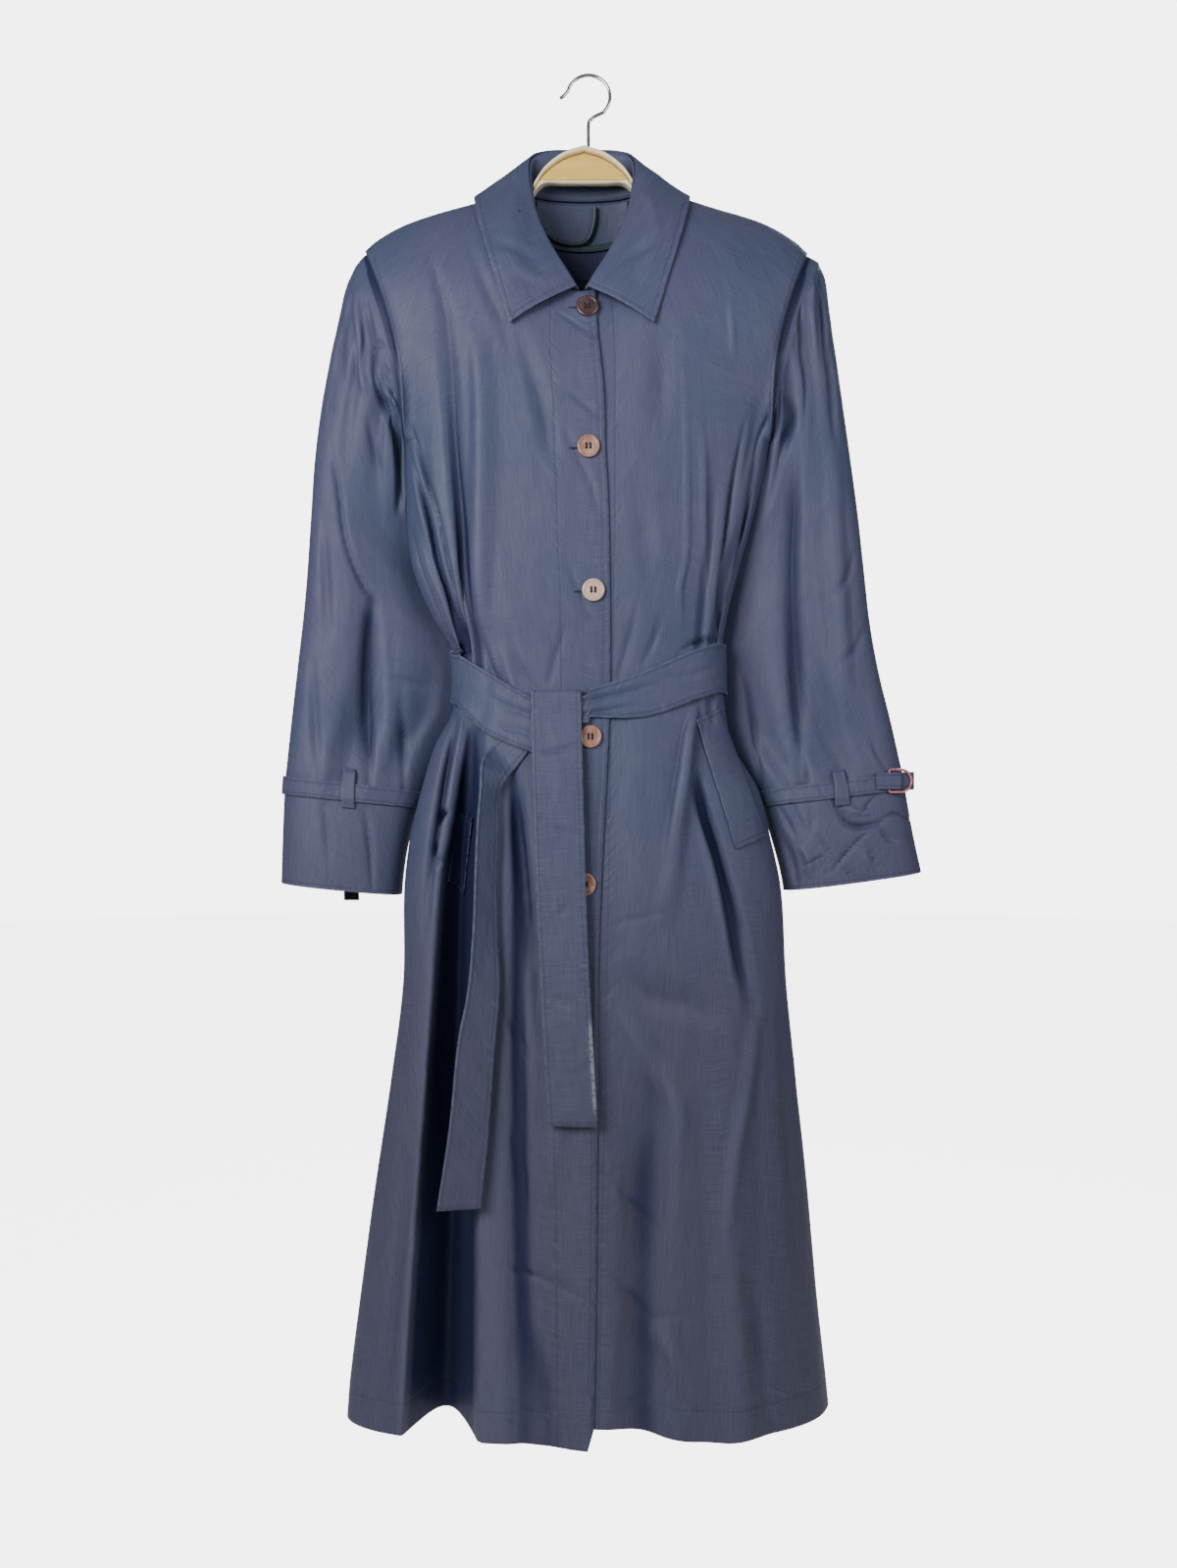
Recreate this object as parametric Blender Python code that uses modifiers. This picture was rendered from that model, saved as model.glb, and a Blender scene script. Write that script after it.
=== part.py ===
"""A long belted raincoat on a wooden hanger.

World axes: +Z up, the front of the coat faces -Y, the wearer's left is +X.
The origin is the inside top of the hanger's hook. Tables and sizes are in millimetres.
"""

import math

import bmesh
import bpy
import numpy as np
from mathutils import Vector
from mathutils.bvhtree import BVHTree

MM = 0.001

# Driving dimensions
CLOTH = 1.2  # wall of a shell panel
BAND = 1.8  # wall of a doubled strip: belt, straps, welts
GAP = 0.4  # clearance between pieces that are sewn or rest on each other
SEAM = 0.5  # how far each panel stops short of a seam line
UNDER_EDGE = -22.0  # where the under front ends behind the over front
LAP = 2.6  # how far the under front lies behind the over front
UNDERARM = -346.0
HEM = -1237.0
NECK_CENTRE = -6.0
NECK_REACH = 56.0
NECK_TOP = -104.0
NECK_DROP = 113.0
NECK_FORWARD = 50.0
NECK_BACK = 26.0
BELT_WIDTH = 45.0
HOOK_RADIUS = 20.0
HOOK_WIRE = 1.6
ARMHOLE_TIP_RIGHT = 207.0  # half width at the shoulder's outer end
ARMHOLE_TIP_LEFT = 203.0
ARMHOLE_CUT = 10.0  # how far the armhole's edge curves in between its ends
ARMHOLE_FRONT = 44.0  # how far it stands off before and behind the shoulder line
ARMHOLE_BACK = 34.0
FRONT_FULLNESS = 2.4  # exponents of the body's rounded sections
BACK_FULLNESS = 2.1

YOKE_ROWS = 12
FRONT_COLUMNS = 16
NECK_COLUMNS = 6  # of them along the neckline
BACK_COLUMNS = 18
SKIRT_LEVELS = (
    -346, -372, -402, -432, -462, -490, -516, -542, -575, -608,
    -640, -680, -730, -790, -860, -940, -1030, -1130, -1237,
)

# Body sections from the underarm to the hem: half widths to either side, where the side line lies,
# and how far the front and the back stand off.
BODY_COLUMNS = "z right left side_right side_left front back"
BODY_ROWS = (
    (-346, 168, 166, -14, -14, 62, 38),
    (-390, 167, 157, -15, -14, 63, 38),
    (-430, 165.5, 147, -15, -14, 64, 37),
    (-465, 160, 137, -15, -14, 64, 35),
    (-505, 143, 127, -15, -14, 63, 32),
    (-538, 124, 122.5, -15, -14, 61, 30),
    (-590, 124, 125, -15, -14, 61, 30),
    (-625, 141, 133, -15, -13, 64, 32),
    (-665, 153, 156, -15, -12, 67, 34),
    (-705, 163, 166.5, -15, -10, 69, 36),
    (-755, 169, 177, -15, -8, 72, 37),
    (-840, 170, 182, -15, -4, 75, 38),
    (-930, 181, 192, -15, 2, 78, 38),
    (-1025, 195, 202.5, -15, 8, 81, 38),
    (-1120, 208, 212, -15, 13, 83, 38),
    (-1200, 218, 220, -15, 16, 85, 38),
    (-1240, 221, 224, -15, 17, 86, 38),
)

# Where the bodice ends and the skirt starts, hidden by the belt: across and height. The row of the panels
# that lies at WAIST_HEIGHT is moved there, with less and less of the rows above and below it.
WAIST_COLUMNS = "x z"
WAIST_FRONT = (
    (-124, -558), (-110, -566), (-87, -582), (-51, -601), (-9, -596), (19, -588), (56, -577), (95, -562),
    (122, -556),
)
WAIST_HEIGHT = -575.0
WAIST_BLEND = 80.0

# Shoulder line: height against distance from the neck's centre.
SHOULDER_COLUMNS = "reach z"
SHOULDER_ROWS = ((53, -104), (100, -118), (138, -129), (164, -138.5), (183, -148), (196, -157), (205, -166))

# Folds of the front, each a run of stations: height, place across, half width, depth (inward positive).
FOLD_COLUMNS = "z x half depth"
FRONT_FOLDS = {
    "pleat_right": (
        (-585, -102, 9, 0), (-650, -107, 15, 16), (-740, -115, 19, 34),
        (-900, -120, 24, 52), (-1100, -127, 31, 66), (-1240, -131, 35, 72),
    ),
    "side_tuck_right": ((-590, -118, 6, 0), (-640, -127, 7, 6), (-712, -138, 7, 6), (-800, -146, 8, 0)),
    "gather_right_outer": ((-330, -150, 10, 0), (-450, -140, 9, 6), (-535, -113, 6, 7), (-620, -112, 6, 0)),
    "gather_right_inner": ((-225, -133, 9, 0), (-400, -119, 8, 5), (-545, -99, 6, 6), (-620, -96, 6, 0)),
    "between_ends": ((-640, -62, 10, 0), (-720, -62, 11, 6), (-1000, -60, 14, 7), (-1240, -56, 18, 3)),
    "front_crest": ((-700, 4, 40, 0), (-1000, 4, 46, -7), (-1240, 4, 52, -13)),
    "gather_left_outer": ((-300, 155, 9, 0), (-404, 142, 9, 6), (-527, 114, 6, 7), (-620, 110, 6, 0)),
    "gather_left_inner": ((-340, 116, 9, 0), (-450, 108, 8, 4), (-535, 100, 6, 5), (-610, 98, 6, 0)),
    "hip_crest_left": ((-592, 98, 8, 0), (-620, 92, 9, -6), (-700, 80, 12, -6), (-790, 66, 14, 0)),
    "hip_trough_left": ((-640, 93, 8, 0), (-685, 104, 9, 9), (-785, 131, 11, 10), (-880, 150, 12, 0)),
    "skirt_trough_left": ((-860, 60, 24, 0), (-1000, 52, 28, 7), (-1240, 46, 32, 8)),
    "skirt_crest_left": ((-860, 120, 26, 0), (-1050, 126, 30, -7), (-1240, 130, 34, -9)),
}
BACK_FOLDS = {
    "gather_back_right": (
        (-420, -70, 16, 0), (-545, -46, 10, 7), (-620, -50, 12, 7), (-900, -86, 26, 9), (-1240, -110, 36, 9),
    ),
    "gather_back_left": (
        (-440, 60, 16, 0), (-545, 42, 10, 7), (-620, 48, 12, 7), (-900, 78, 26, 9), (-1240, 104, 36, 9),
    ),
    "centre_back": ((-460, -4, 14, 0), (-560, -4, 10, 5), (-900, -4, 22, 7), (-1240, -4, 34, 8)),
}

# Sleeve sections. Out and in are the outer and the underarm side, front and back the depth there,
# round the section's fullness, bow how far its middle leans in to the body, and tuck how far
# its inner edge is drawn in behind the side of the body.
SLEEVE_COLUMNS = "x_out z_out z_in front back round bow tuck"
SLEEVE_RIGHT = (
    (-216, -180, -351, -42, 34, 2.0, 9, 0.0),
    (-224, -198, -362, -42, 34, 2.0, 7, 0.0),
    (-231, -226, -380, -41, 34, 2.1, 5, 0.0),
    (-239.5, -268, -405, -40, 34, 2.2, 3, 0.3),
    (-247.5, -312, -434, -39, 34, 2.2, 2, 0.65),
    (-253.5, -362, -466, -38, 34, 2.3, 0, 1.0),
    (-257, -412, -498, -38, 34, 2.3, 0, 1.0),
    (-260.5, -460, -528, -37, 35, 2.3, 0, 1.0),
    (-265, -506, -552, -36, 35, 2.3, 0, 1.0),
    (-270.5, -552, -578, -36, 35, 2.3, 0, 1.0),
    (-276, -600, -616, -35, 35, 2.3, 0, 0.9),
    (-280, -640, -655, -35, 35, 2.3, 0, 0.5),
    (-282, -662, -676, -34, 35, 2.3, 0, 0.3),
    (-284, -712, -718, -33, 35, 2.4, 0, 0.1),
    (-285.5, -751, -762, -32, 35, 2.4, 0, 0.0),
)
SLEEVE_LEFT = (
    (213, -176, -351, -42, 34, 2.0, 9, 0.0),
    (219.5, -193, -362, -42, 34, 2.0, 7, 0.0),
    (223.5, -222, -380, -41, 34, 2.1, 5, 0.0),
    (230, -268, -405, -40, 34, 2.2, 3, 0.05),
    (237, -316, -434, -39, 34, 2.2, 2, 0.37),
    (244, -366, -466, -38, 34, 2.3, 0, 0.8),
    (250.5, -416, -498, -38, 34, 2.3, 0, 1.0),
    (256, -464, -528, -37, 35, 2.3, 0, 1.0),
    (261, -508, -552, -36, 35, 2.3, 0, 1.0),
    (269, -552, -578, -36, 35, 2.3, 0, 1.0),
    (281, -600, -618, -35, 35, 2.3, 0, 0.9),
    (290, -640, -657, -35, 35, 2.3, 0, 0.5),
    (293.5, -660, -676, -34, 35, 2.3, 0, 0.3),
    (301, -704, -718, -33, 35, 2.4, 0, 0.1),
    (309, -741, -758, -32, 35, 2.4, 0, 0.0),
)
# Pleats and long folds of a sleeve: degrees round from the outer side by the front, half width in degrees,
# depth, and the sections where it starts, is deepest and ends.
SLEEVE_FOLD_COLUMNS = "angle half depth start peak end"
SLEEVE_FOLDS = (
    (38, 12, 4.5, 0.2, 1.6, 4.5),
    (66, 12, 5.0, 0.2, 1.6, 5.5),
    (96, 13, 5.5, 0.2, 1.8, 6.0),
    (128, 12, 4.0, 0.2, 1.8, 5.0),
    (-45, 13, 4.0, 0.2, 1.6, 4.5),
    (-80, 13, 4.5, 0.2, 1.6, 5.0),
    (-115, 13, 4.0, 0.2, 1.6, 4.5),
    (84, 17, 8.0, 5.0, 10.0, 13.0),
    (118, 16, 5.0, 7.0, 10.0, 12.5),
    (-95, 18, 6.0, 4.0, 9.0, 13.0),
)
SLEEVE_SIDES = 24
SLEEVE_INSET = 2.0  # how far the sleeve's head lies inside the armhole's edge
SLEEVE_ROOT = 0.3  # how far outside the armhole's edge the sleeve starts
SLEEVE_COLLAR = 2.5  # where its first straight stretch ends
SLEEVE_CLEAR = 3.0  # between the sleeve's inner edge and the body's side line
CUFF_CLEAR = 5.4  # the same where the strap goes round
SLEEVE_BEHIND = 12.0  # how far a tucked inner edge goes in behind that line
SLEEVE_LEAN = 18.0  # how far a tucked inner edge goes towards the back
SLEEVE_TAPER = 21.0  # how much thinner the sleeve gets there

# Half of the collar about the neck's centre: where it joins the neckline (degrees round the neck from
# the shoulder, front positive), where it rolls over and where it ends.
COLLAR_COLUMNS = "neck roll_x roll_y roll_z edge_x edge_y edge_z"
COLLAR_ROWS = (
    (87, 4.5, -57, -214, 64, -66, -250),
    (76, 12.0, -55, -201, 70, -64, -232),
    (63, 22.0, -50, -184, 77, -60, -208),
    (50, 32.0, -43, -164, 85, -54, -181),
    (36, 40.0, -34, -144, 92, -42, -155),
    (20, 46.0, -20, -118, 97, -24, -132),
    (0, 49.5, -2, -86, 99, -2, -114),
    (-22, 46.5, 10, -69, 93, 24, -112),
    (-50, 32.0, 18, -61, 68, 38, -112),
    (-72, 15.0, 23, -58, 32, 43, -111),
    (-90, 0.0, 24, -57.5, 0, 44, -111),
)
COLLAR_SECTIONS = 30
FALL_ROWS = 6
STAND_ROWS = 2
FALL_BULGE = 4.0
STAND_INSIDE = 2.4  # between the stand's upper edge and the fall's roll

# The belt round the waist, front parts only: place across, height of its middle, half height.
BELT_RIGHT = ((-29, -614, 20), (-51, -606.5, 23), (-87, -586, 25), (-114, -565, 23))
BELT_LEFT = (
    (114, -554, 22.5), (95, -561, 22.5), (56, -577, 21), (19, -588.5, 16), (-9, -594, 11.5), (-26, -598, 11),
)
BELT_BACK = -556.0  # its height round the sides and the back
BELT_STEPS = 26
BELT_CLEAR = 0.5  # how far it stands off the unfolded front, and off the sides and the back
BELT_CLEAR_ROUND = 1.8
KNOT_CENTRE = -40.0
KNOT_HALF = 38.0
KNOT_ROOM = BAND + 2 * GAP + 0.5

# The end that hangs over the belt: height, and its two edges across.
OVER_COLUMNS = "z right left"
OVER_END = (
    (-584, -51, -6.5), (-650, -49.5, -5), (-703, -47.5, -3.5),
    (-770, -45, -1.5), (-831, -42, 1), (-957, -35, 8),
)

# The end that comes out under the belt: its middle (x y z) and half of its width as a vector (x y z).
UNDER_END = (
    (-56, -65.0, -618, -3, 0, 12),
    (-70, -65.5, -630, -8, -1, 12),
    (-82, -74, -645, -11, -5, 8),
    (-87, -79, -668, -8, -8, 2),
    (-88.5, -82, -703, -9, -8, 0),
    (-90, -84, -746, -9, -8, 0),
    (-90.5, -86, -797, -10.5, -8, 0),
    (-91.5, -88, -840, -13.5, -7, 0),
    (-97.5, -90, -885, -16, -6, 0),
    (-104, -92, -959, -17, -5, 0),
    (-112.5, -94, -1029, -19, -4, 0),
)

UNDER_STEPS = 22

# Buttons from the collar down: across and height.
BUTTONS = ((-0.9, -232), (0.0, -359), (4.3, -487), (1.7, -617.5), (-3.4, -748))
# A button's outline as radius and height.
BUTTON_PROFILE = ((0, 0), (8.4, 0), (10.2, 1.2), (10.2, 2.4), (9.0, 3.2), (7.6, 2.5), (0, 2.5))

# Pocket welts as four corners: across and height.
WELT_LEFT = ((95, -602), (118, -590), (162, -707), (131, -719))
WELT_RIGHT = ((-103, -690), (-121, -684), (-129, -747), (-112, -761))

# Straps round the cuffs, and the loop on each, by their place between the sleeve's sections.
STRAP_ROWS = (11.7, 11.95, 12.2)
LOOP_ROWS = (11.2, 11.5, 12.0, 12.4, 12.7)
LOOP_WALL = 1.0
LOOP_SPAN_RIGHT = (100, 92)  # degrees round the sleeve
LOOP_SPAN_LEFT = (88, 80)
RING_HALF = 11.5
RING_WIRE = 1.4
RING_HEIGHT = -655.0
TAB_SIZE = (15, 1.6, 34)

WELT_ROWS = 12
WELT_LIFT = CLOTH / 2 + GAP + BAND / 2 + 0.1

# The hanger loop: across and height.
LOOP_POINTS = (
    (6.5, -112), (6, -124), (2, -138), (-6, -145.5), (-23, -145.5), (-35, -140), (-41, -131), (-43, -114),
)
LOOP_RADIUS = 1.9
NECK_INSIDE_HALF = 44.0  # half width of what shows inside the back neck
FACING_BOTTOM = -150.0
LINING_BOTTOM = -330.0

# Upper and lower outline of one hanger arm: distance from the middle, top and bottom.
HANGER_COLUMNS = "reach top bottom"
HANGER_ROWS = (
    (0, -71.4, -101), (19, -77.8, -101), (36, -90.5, -101), (45, -103.5, -108),
    (50, -113, -119), (54, -117, -126), (62, -118.5, -132), (100, -126, -143),
    (138, -136, -154), (164, -145.5, -162), (180, -154, -169), (187, -162, -168),
)
HANGER_CENTRE = -4.0
HANGER_REACH = 188.0
HANGER_DEPTH = 12.0
RIM = 6.0  # height of the pale rim on the hanger's crown
RIM_REACH = 47.0

SETTLE_ROUNDS = 10

SLATE = (0.115, 0.135, 0.215)
NAVY = (0.012, 0.022, 0.055)
TEAL = (0.010, 0.028, 0.036)
COPPER = (0.52, 0.27, 0.20)
ROSE = (0.46, 0.13, 0.14)
WOOD = (0.58, 0.37, 0.13)
CREAM = (0.86, 0.74, 0.47)
STEEL = (0.70, 0.70, 0.72)
BLACK = (0.008, 0.008, 0.010)


def blend(a, b, t):
    return a + (b - a) * t


def clamp(value, low=0.0, high=1.0):
    return max(low, min(high, value))


def smooth(t):
    t = clamp(t)
    return t * t * (3 - 2 * t)


def hump(distance):
    """A bell of height 1 that ends at a distance of 1."""
    return math.cos(math.pi / 2 * clamp(distance, -1, 1)) ** 2


def steep_hump(distance):
    """Like hump, with a wider bottom and steeper walls."""
    return hump(distance) ** 0.55


def power(value, exponent):
    return math.copysign(abs(value) ** exponent, value)


def column(names, rows, name):
    return [row[names.split().index(name)] for row in rows]


def curve_through(keys, values, key):
    """A smooth curve through the values, read at a key. The keys rise or fall all the way."""
    if keys[0] > keys[-1]:
        keys, values = keys[::-1], values[::-1]
    key = clamp(key, keys[0], keys[-1])
    i = max(k for k in range(len(keys) - 1) if keys[k] <= key)
    slopes = []
    for j in (i, i + 1):
        low, high = max(j - 1, 0), min(j + 1, len(keys) - 1)
        slopes.append((values[high] - values[low]) / (keys[high] - keys[low]))
    span = keys[i + 1] - keys[i]
    t = (key - keys[i]) / span
    rise = values[i + 1] - values[i]
    bend = (slopes[0] * span - rise) * (1 - t) - (slopes[1] * span - rise) * t
    return values[i] + rise * t + t * (1 - t) * bend


def read(names, rows, key_name, name, key):
    return curve_through(column(names, rows, key_name), column(names, rows, name), key)


def body(name, z):
    return read(BODY_COLUMNS, BODY_ROWS, "z", name, z)


def at_row(names, rows, name, index):
    """A table's column read at a row number, which may lie between rows."""
    return curve_through(list(range(len(rows))), column(names, rows, name), index)


def fold_depth(folds, x, z):
    """How far the folds push the cloth at this place."""
    depth = 0.0
    for name, stations in folds.items():
        heights = column(FOLD_COLUMNS, stations, "z")
        if not heights[-1] <= z <= heights[0]:
            continue
        middle, half, deep = (read(FOLD_COLUMNS, stations, "z", key, z) for key in ("x", "half", "depth"))
        shape = steep_hump if name == "pleat_right" else hump
        depth += deep * shape((x - middle) / half)
    return depth


def neck_rise(x):
    """1 at the middle of the neckline, 0 from its ends on."""
    return math.sqrt(max(0.0, 1 - ((x - NECK_CENTRE) / NECK_REACH) ** 2))


def neckline(facing, rise):
    """Height and depth of the neckline: flat over the shoulder point, then steep towards the front."""
    if facing < 0:
        return NECK_TOP - NECK_DROP * rise, -NECK_FORWARD * rise**0.6
    return NECK_TOP - 4 * rise, NECK_BACK * rise**0.6


def top_edge(x, facing):
    """Height and depth of the panels' upper edge: neckline inside, shoulder seam outside."""
    rise = neck_rise(x)
    if rise > 0:
        return neckline(facing, rise)
    reach = abs(x - NECK_CENTRE / 2)
    return read(SHOULDER_COLUMNS, SHOULDER_ROWS, "reach", "z", reach), 0.0


def armhole(side, facing, t):
    """The armhole's edge, t 0 at the shoulder tip and 1 at the underarm: half width, depth and height."""
    tip_x = ARMHOLE_TIP_RIGHT if side < 0 else ARMHOLE_TIP_LEFT
    tip_z = top_edge(side * tip_x, facing)[0]
    under_x = body("right" if side < 0 else "left", UNDERARM)
    under_y = body("side_right" if side < 0 else "side_left", UNDERARM)
    x = blend(tip_x, under_x, t) - ARMHOLE_CUT * math.sin(math.pi * t**1.3)
    deep = ARMHOLE_FRONT if facing < 0 else ARMHOLE_BACK
    y = facing * deep * 2 * math.sqrt(t * (1 - t)) + under_y * smooth((t - 0.5) / 0.5)
    return x, y, blend(tip_z, UNDERARM, t)


def section_shape(share, fullness):
    return max(0.0, 1 - abs(share) ** fullness) ** (1 / fullness)


def body_point(facing, across, level, folded=True):
    """A point of the body's middle surface. Across runs from -1 at the right side line to 1 at the left
    one, level from 0 at the upper edge to 1 at the underarm and 2 at the hem."""
    side = -1 if across < 0 else 1
    share = math.sin(math.pi / 2 * across)
    fullness = FRONT_FULLNESS if facing < 0 else BACK_FULLNESS
    side_name = "side_right" if side < 0 else "side_left"
    if level <= 1:
        width, edge_y, _ = armhole(side, facing, level)
        x = share * width
        top_z, top_y = top_edge(x, facing)
        z = blend(top_z, UNDERARM, level)
        rise = (2 * math.sqrt(level * (1 - level))) ** 1.25 if level < 0.5 else 1.0
        reach = body("front" if facing < 0 else "back", UNDERARM)
        deep = ARMHOLE_FRONT if facing < 0 else ARMHOLE_BACK
        line = blend(facing * deep, body(side_name, UNDERARM), smooth((level - 0.55) / 0.45))
        rise = blend(rise, min(1.0, 2 * level), neck_rise(x))
        y = line + (facing * reach - line) * section_shape(share, fullness)
        y = blend(top_y, y, rise) + (edge_y - line * rise) * abs(share) ** 40
    else:
        z = skirt_height(facing, side, share, level)
        x = share * body("right" if side < 0 else "left", z)
        line = body(side_name, z)
        reach = body("front" if facing < 0 else "back", z)
        y = line + (facing * reach - line) * section_shape(share, fullness)
    if folded:
        folds = FRONT_FOLDS if facing < 0 else BACK_FOLDS
        y -= facing * fold_depth(folds, x, z)
    return Vector((x, y, z))


def hem_height(facing, side, share):
    """The left front hangs a little short towards its middle."""
    short = 18 * (1 - smooth(abs(share) / 0.45)) if facing < 0 < side else 0
    return HEM + short


def skirt_height(facing, side, share, level):
    return blend(UNDERARM, hem_height(facing, side, share), level - 1)


def triangles(rows, ring):
    """The points of a grid of rows and its faces, each square split along its shorter diagonal."""
    points = [Vector(p) for row in rows for p in row]
    columns = len(rows[0])
    faces = []
    for i in range(len(rows) - 1):
        for j in range(columns if ring else columns - 1):
            a, b = i * columns + j, i * columns + (j + 1) % columns
            c, d = b + columns, a + columns
            if (points[a] - points[c]).length < (points[b] - points[d]).length:
                faces += [(a, b, c), (a, c, d)]
            else:
                faces += [(a, b, d), (b, c, d)]
    return points, faces


class Panel:
    """A cloth panel as it lies, for placing other pieces on it."""

    def __init__(self, rows, facing):
        points, faces = triangles(rows, False)
        self.tree = BVHTree.FromPolygons(points, faces)
        self.facing = facing

    def at(self, x, z):
        """The point at this place across and height, and the way out of the coat there."""
        start = Vector((x, self.facing * 400, z))
        point, normal, _, _ = self.tree.ray_cast(start, Vector((0, -self.facing, 0)))
        if point is None:
            point, normal, _, _ = self.tree.find_nearest(Vector((x, self.facing * 40, z)))
        return point, normal if normal.y * self.facing > 0 else -normal

    def on(self, x, z, lift):
        """A point that lies on the panel, lifted off its middle surface."""
        point, normal = self.at(x, z)
        return point + normal * lift

    def press(self, point, target, clearance):
        """The point, moved out until it clears what a look from it to the target finds of the panel."""
        way = (target - point).normalized()
        hit, normal, _, _ = self.tree.ray_cast(point - way * 60, way)
        if hit is None:
            return point
        normal = -normal if normal.dot(way) > 0 else normal
        return point + normal * max(0.0, clearance - (point - hit).dot(normal))

    def shortfall(self, point, clearance):
        """The move that takes a point that lies too near the panel, or through it, to the clearance."""
        hit, normal, _, distance = self.tree.find_nearest(point)
        normal = normal if normal.y * self.facing > 0 else -normal
        height = (point - hit).dot(normal)
        if distance > 9:
            return Vector()
        if abs(height) < 0.95 * distance:
            return (point - hit).normalized() * max(0.0, clearance - distance)
        return normal * max(0.0, clearance - height)


def settle(rows, panels, clearance, fixed):
    """Lifts a sheet until all of it clears the panels. A number of its first columns stay fixed."""
    columns = len(rows[0])
    spots = [(u / 4, v / 4, 1 - (u + v) / 4) for u in range(5) for v in range(5 - u)]
    for _ in range(SETTLE_ROUNDS):
        points, faces = triangles(rows, False)
        moves = [Vector() for _ in points]
        for face in faces:
            for spot in spots:
                place = sum((points[k] * share for k, share in zip(face, spot)), Vector())
                move = max((panel.shortfall(place, clearance) for panel in panels), key=lambda v: v.length)
                for k in face:
                    moves[k] = max(moves[k], move, key=lambda v: v.length)
        for k, move in enumerate(moves):
            if k % columns >= fixed:
                rows[k // columns][k % columns] = points[k] + move * 0.8
    return rows


def sleeve_section(side, row, angle):
    """A point of the sleeve's middle surface: row counts the sections from the armhole down."""
    table = SLEEVE_RIGHT if side < 0 else SLEEVE_LEFT
    values = {name: at_row(SLEEVE_COLUMNS, table, name, row) for name in SLEEVE_COLUMNS.split()}
    turn_x = power(math.cos(angle), 2 / values["round"])
    turn_y = power(math.sin(angle), 2 / values["round"])
    mid_y = (values["front"] + values["back"]) / 2
    half_y = (values["back"] - values["front"]) / 2
    depth = 0.0
    for fold in SLEEVE_FOLDS:
        f = dict(zip(SLEEVE_FOLD_COLUMNS.split(), fold))
        away = (math.degrees(angle) - f["angle"] + 180) % 360 - 180
        opening = smooth((row - f["start"]) / (f["peak"] - f["start"]))
        closing = 1 - smooth((row - f["peak"]) / (f["end"] - f["peak"]))
        depth += f["depth"] * opening * closing * hump(away / f["half"])
    half_y -= depth
    inner = (1 - turn_x) / 2
    half_y -= SLEEVE_TAPER * values["tuck"] * inner
    mid_y += SLEEVE_LEAN * values["tuck"] * inner
    body_side = body("right" if side < 0 else "left", values["z_in"])
    clear = blend(SLEEVE_CLEAR, CUFF_CLEAR, smooth((row - 8) / 3))
    x_in = side * (body_side + clear - SLEEVE_BEHIND * values["tuck"])
    x = blend(values["x_out"], x_in, inner) - side * values["bow"] * turn_y**2
    z = blend(values["z_out"], values["z_in"], inner)
    return Vector((x, mid_y - half_y * turn_y, z))


def armhole_ring(side, angle, outward):
    """The sleeve where it passes through the armhole, inset from the armhole's edge."""
    facing = -1 if math.sin(angle) > 0 else 1
    t = (1 - math.cos(angle)) / 2
    x, y, z = armhole(side, facing, t)
    tip, under = armhole(side, -1, 0), armhole(side, -1, 1)
    middle = Vector((side * (tip[0] + under[0]), 0, tip[2] + under[2])) / 2
    point = Vector((side * x, y, z))
    inset = (middle - point).normalized() * SLEEVE_INSET
    axis = Vector((side * 0.977, 0, -0.213))
    return point + inset + axis * outward


def surface(name, rows, colour, thickness, ring=False, roughness=0.6, metallic=0.0):
    """A sheet through rows of points, given its wall on both sides."""
    points, faces = triangles(rows, ring)
    mesh = bpy.data.meshes.new(name)
    mesh.from_pydata([tuple(p * MM) for p in points], [], faces)
    mesh.update()
    piece = add(name, mesh, colour, roughness, metallic)
    wall = piece.modifiers.new("wall", "SOLIDIFY")
    wall.thickness = thickness * MM
    wall.offset = 0
    mesh.shade_smooth()
    return piece


def add(name, data, colour, roughness=0.6, metallic=0.0):
    piece = bpy.data.objects.new(name, data)
    bpy.data.collections["raincoat"].objects.link(piece)
    paint = bpy.data.materials.new(name)
    paint.use_nodes = True
    surface_node = paint.node_tree.nodes["Principled BSDF"]
    surface_node.inputs["Base Color"].default_value = (*colour, 1)
    surface_node.inputs["Roughness"].default_value = roughness
    surface_node.inputs["Metallic"].default_value = metallic
    paint.diffuse_color = (*colour, 1)
    data.materials.append(paint)
    return piece


def rod(name, points, radius, colour, roughness, metallic, ring=False):
    """A round wire or cord through the points."""
    data = bpy.data.curves.new(name, "CURVE")
    data.dimensions = "3D"
    data.bevel_depth = radius * MM
    data.bevel_resolution = 2
    data.use_fill_caps = not ring
    line = data.splines.new("POLY")
    line.points.add(len(points) - 1)
    line.use_cyclic_u = ring
    for target, point in zip(line.points, points):
        target.co = (*(Vector(point) * MM), 1)
    return add(name, data, colour, roughness, metallic)


def through(points, count):
    """A smooth path through a few points."""
    keys = list(range(len(points)))
    path = []
    for i in range(count + 1):
        key = i / count * keys[-1]
        path.append(tuple(curve_through(keys, values, key) for values in zip(*points)))
    return path


def levels():
    yoke = [(1 - math.cos(math.pi * i / YOKE_ROWS)) / 2 for i in range(YOKE_ROWS)]
    skirt = [1 + (UNDERARM - z) / (UNDERARM - HEM) for z in SKIRT_LEVELS]
    return yoke + skirt


def waist_level(level, facing, across):
    """The level, moved so that the row at the waist's height follows the belt."""
    if level <= 1:
        return level
    z = blend(UNDERARM, HEM, level - 1)
    x = math.sin(math.pi / 2 * across) * body("right" if across < 0 else "left", z)
    waist = read(WAIST_COLUMNS, WAIST_FRONT, "x", "z", x) if facing < 0 else BELT_BACK
    return level - (waist - WAIST_HEIGHT) * hump((z - WAIST_HEIGHT) / WAIST_BLEND) / (UNDERARM - HEM)


def body_row(facing, places, level):
    return [body_point(facing, across, waist_level(level, facing, across)) for across in places]


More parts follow.
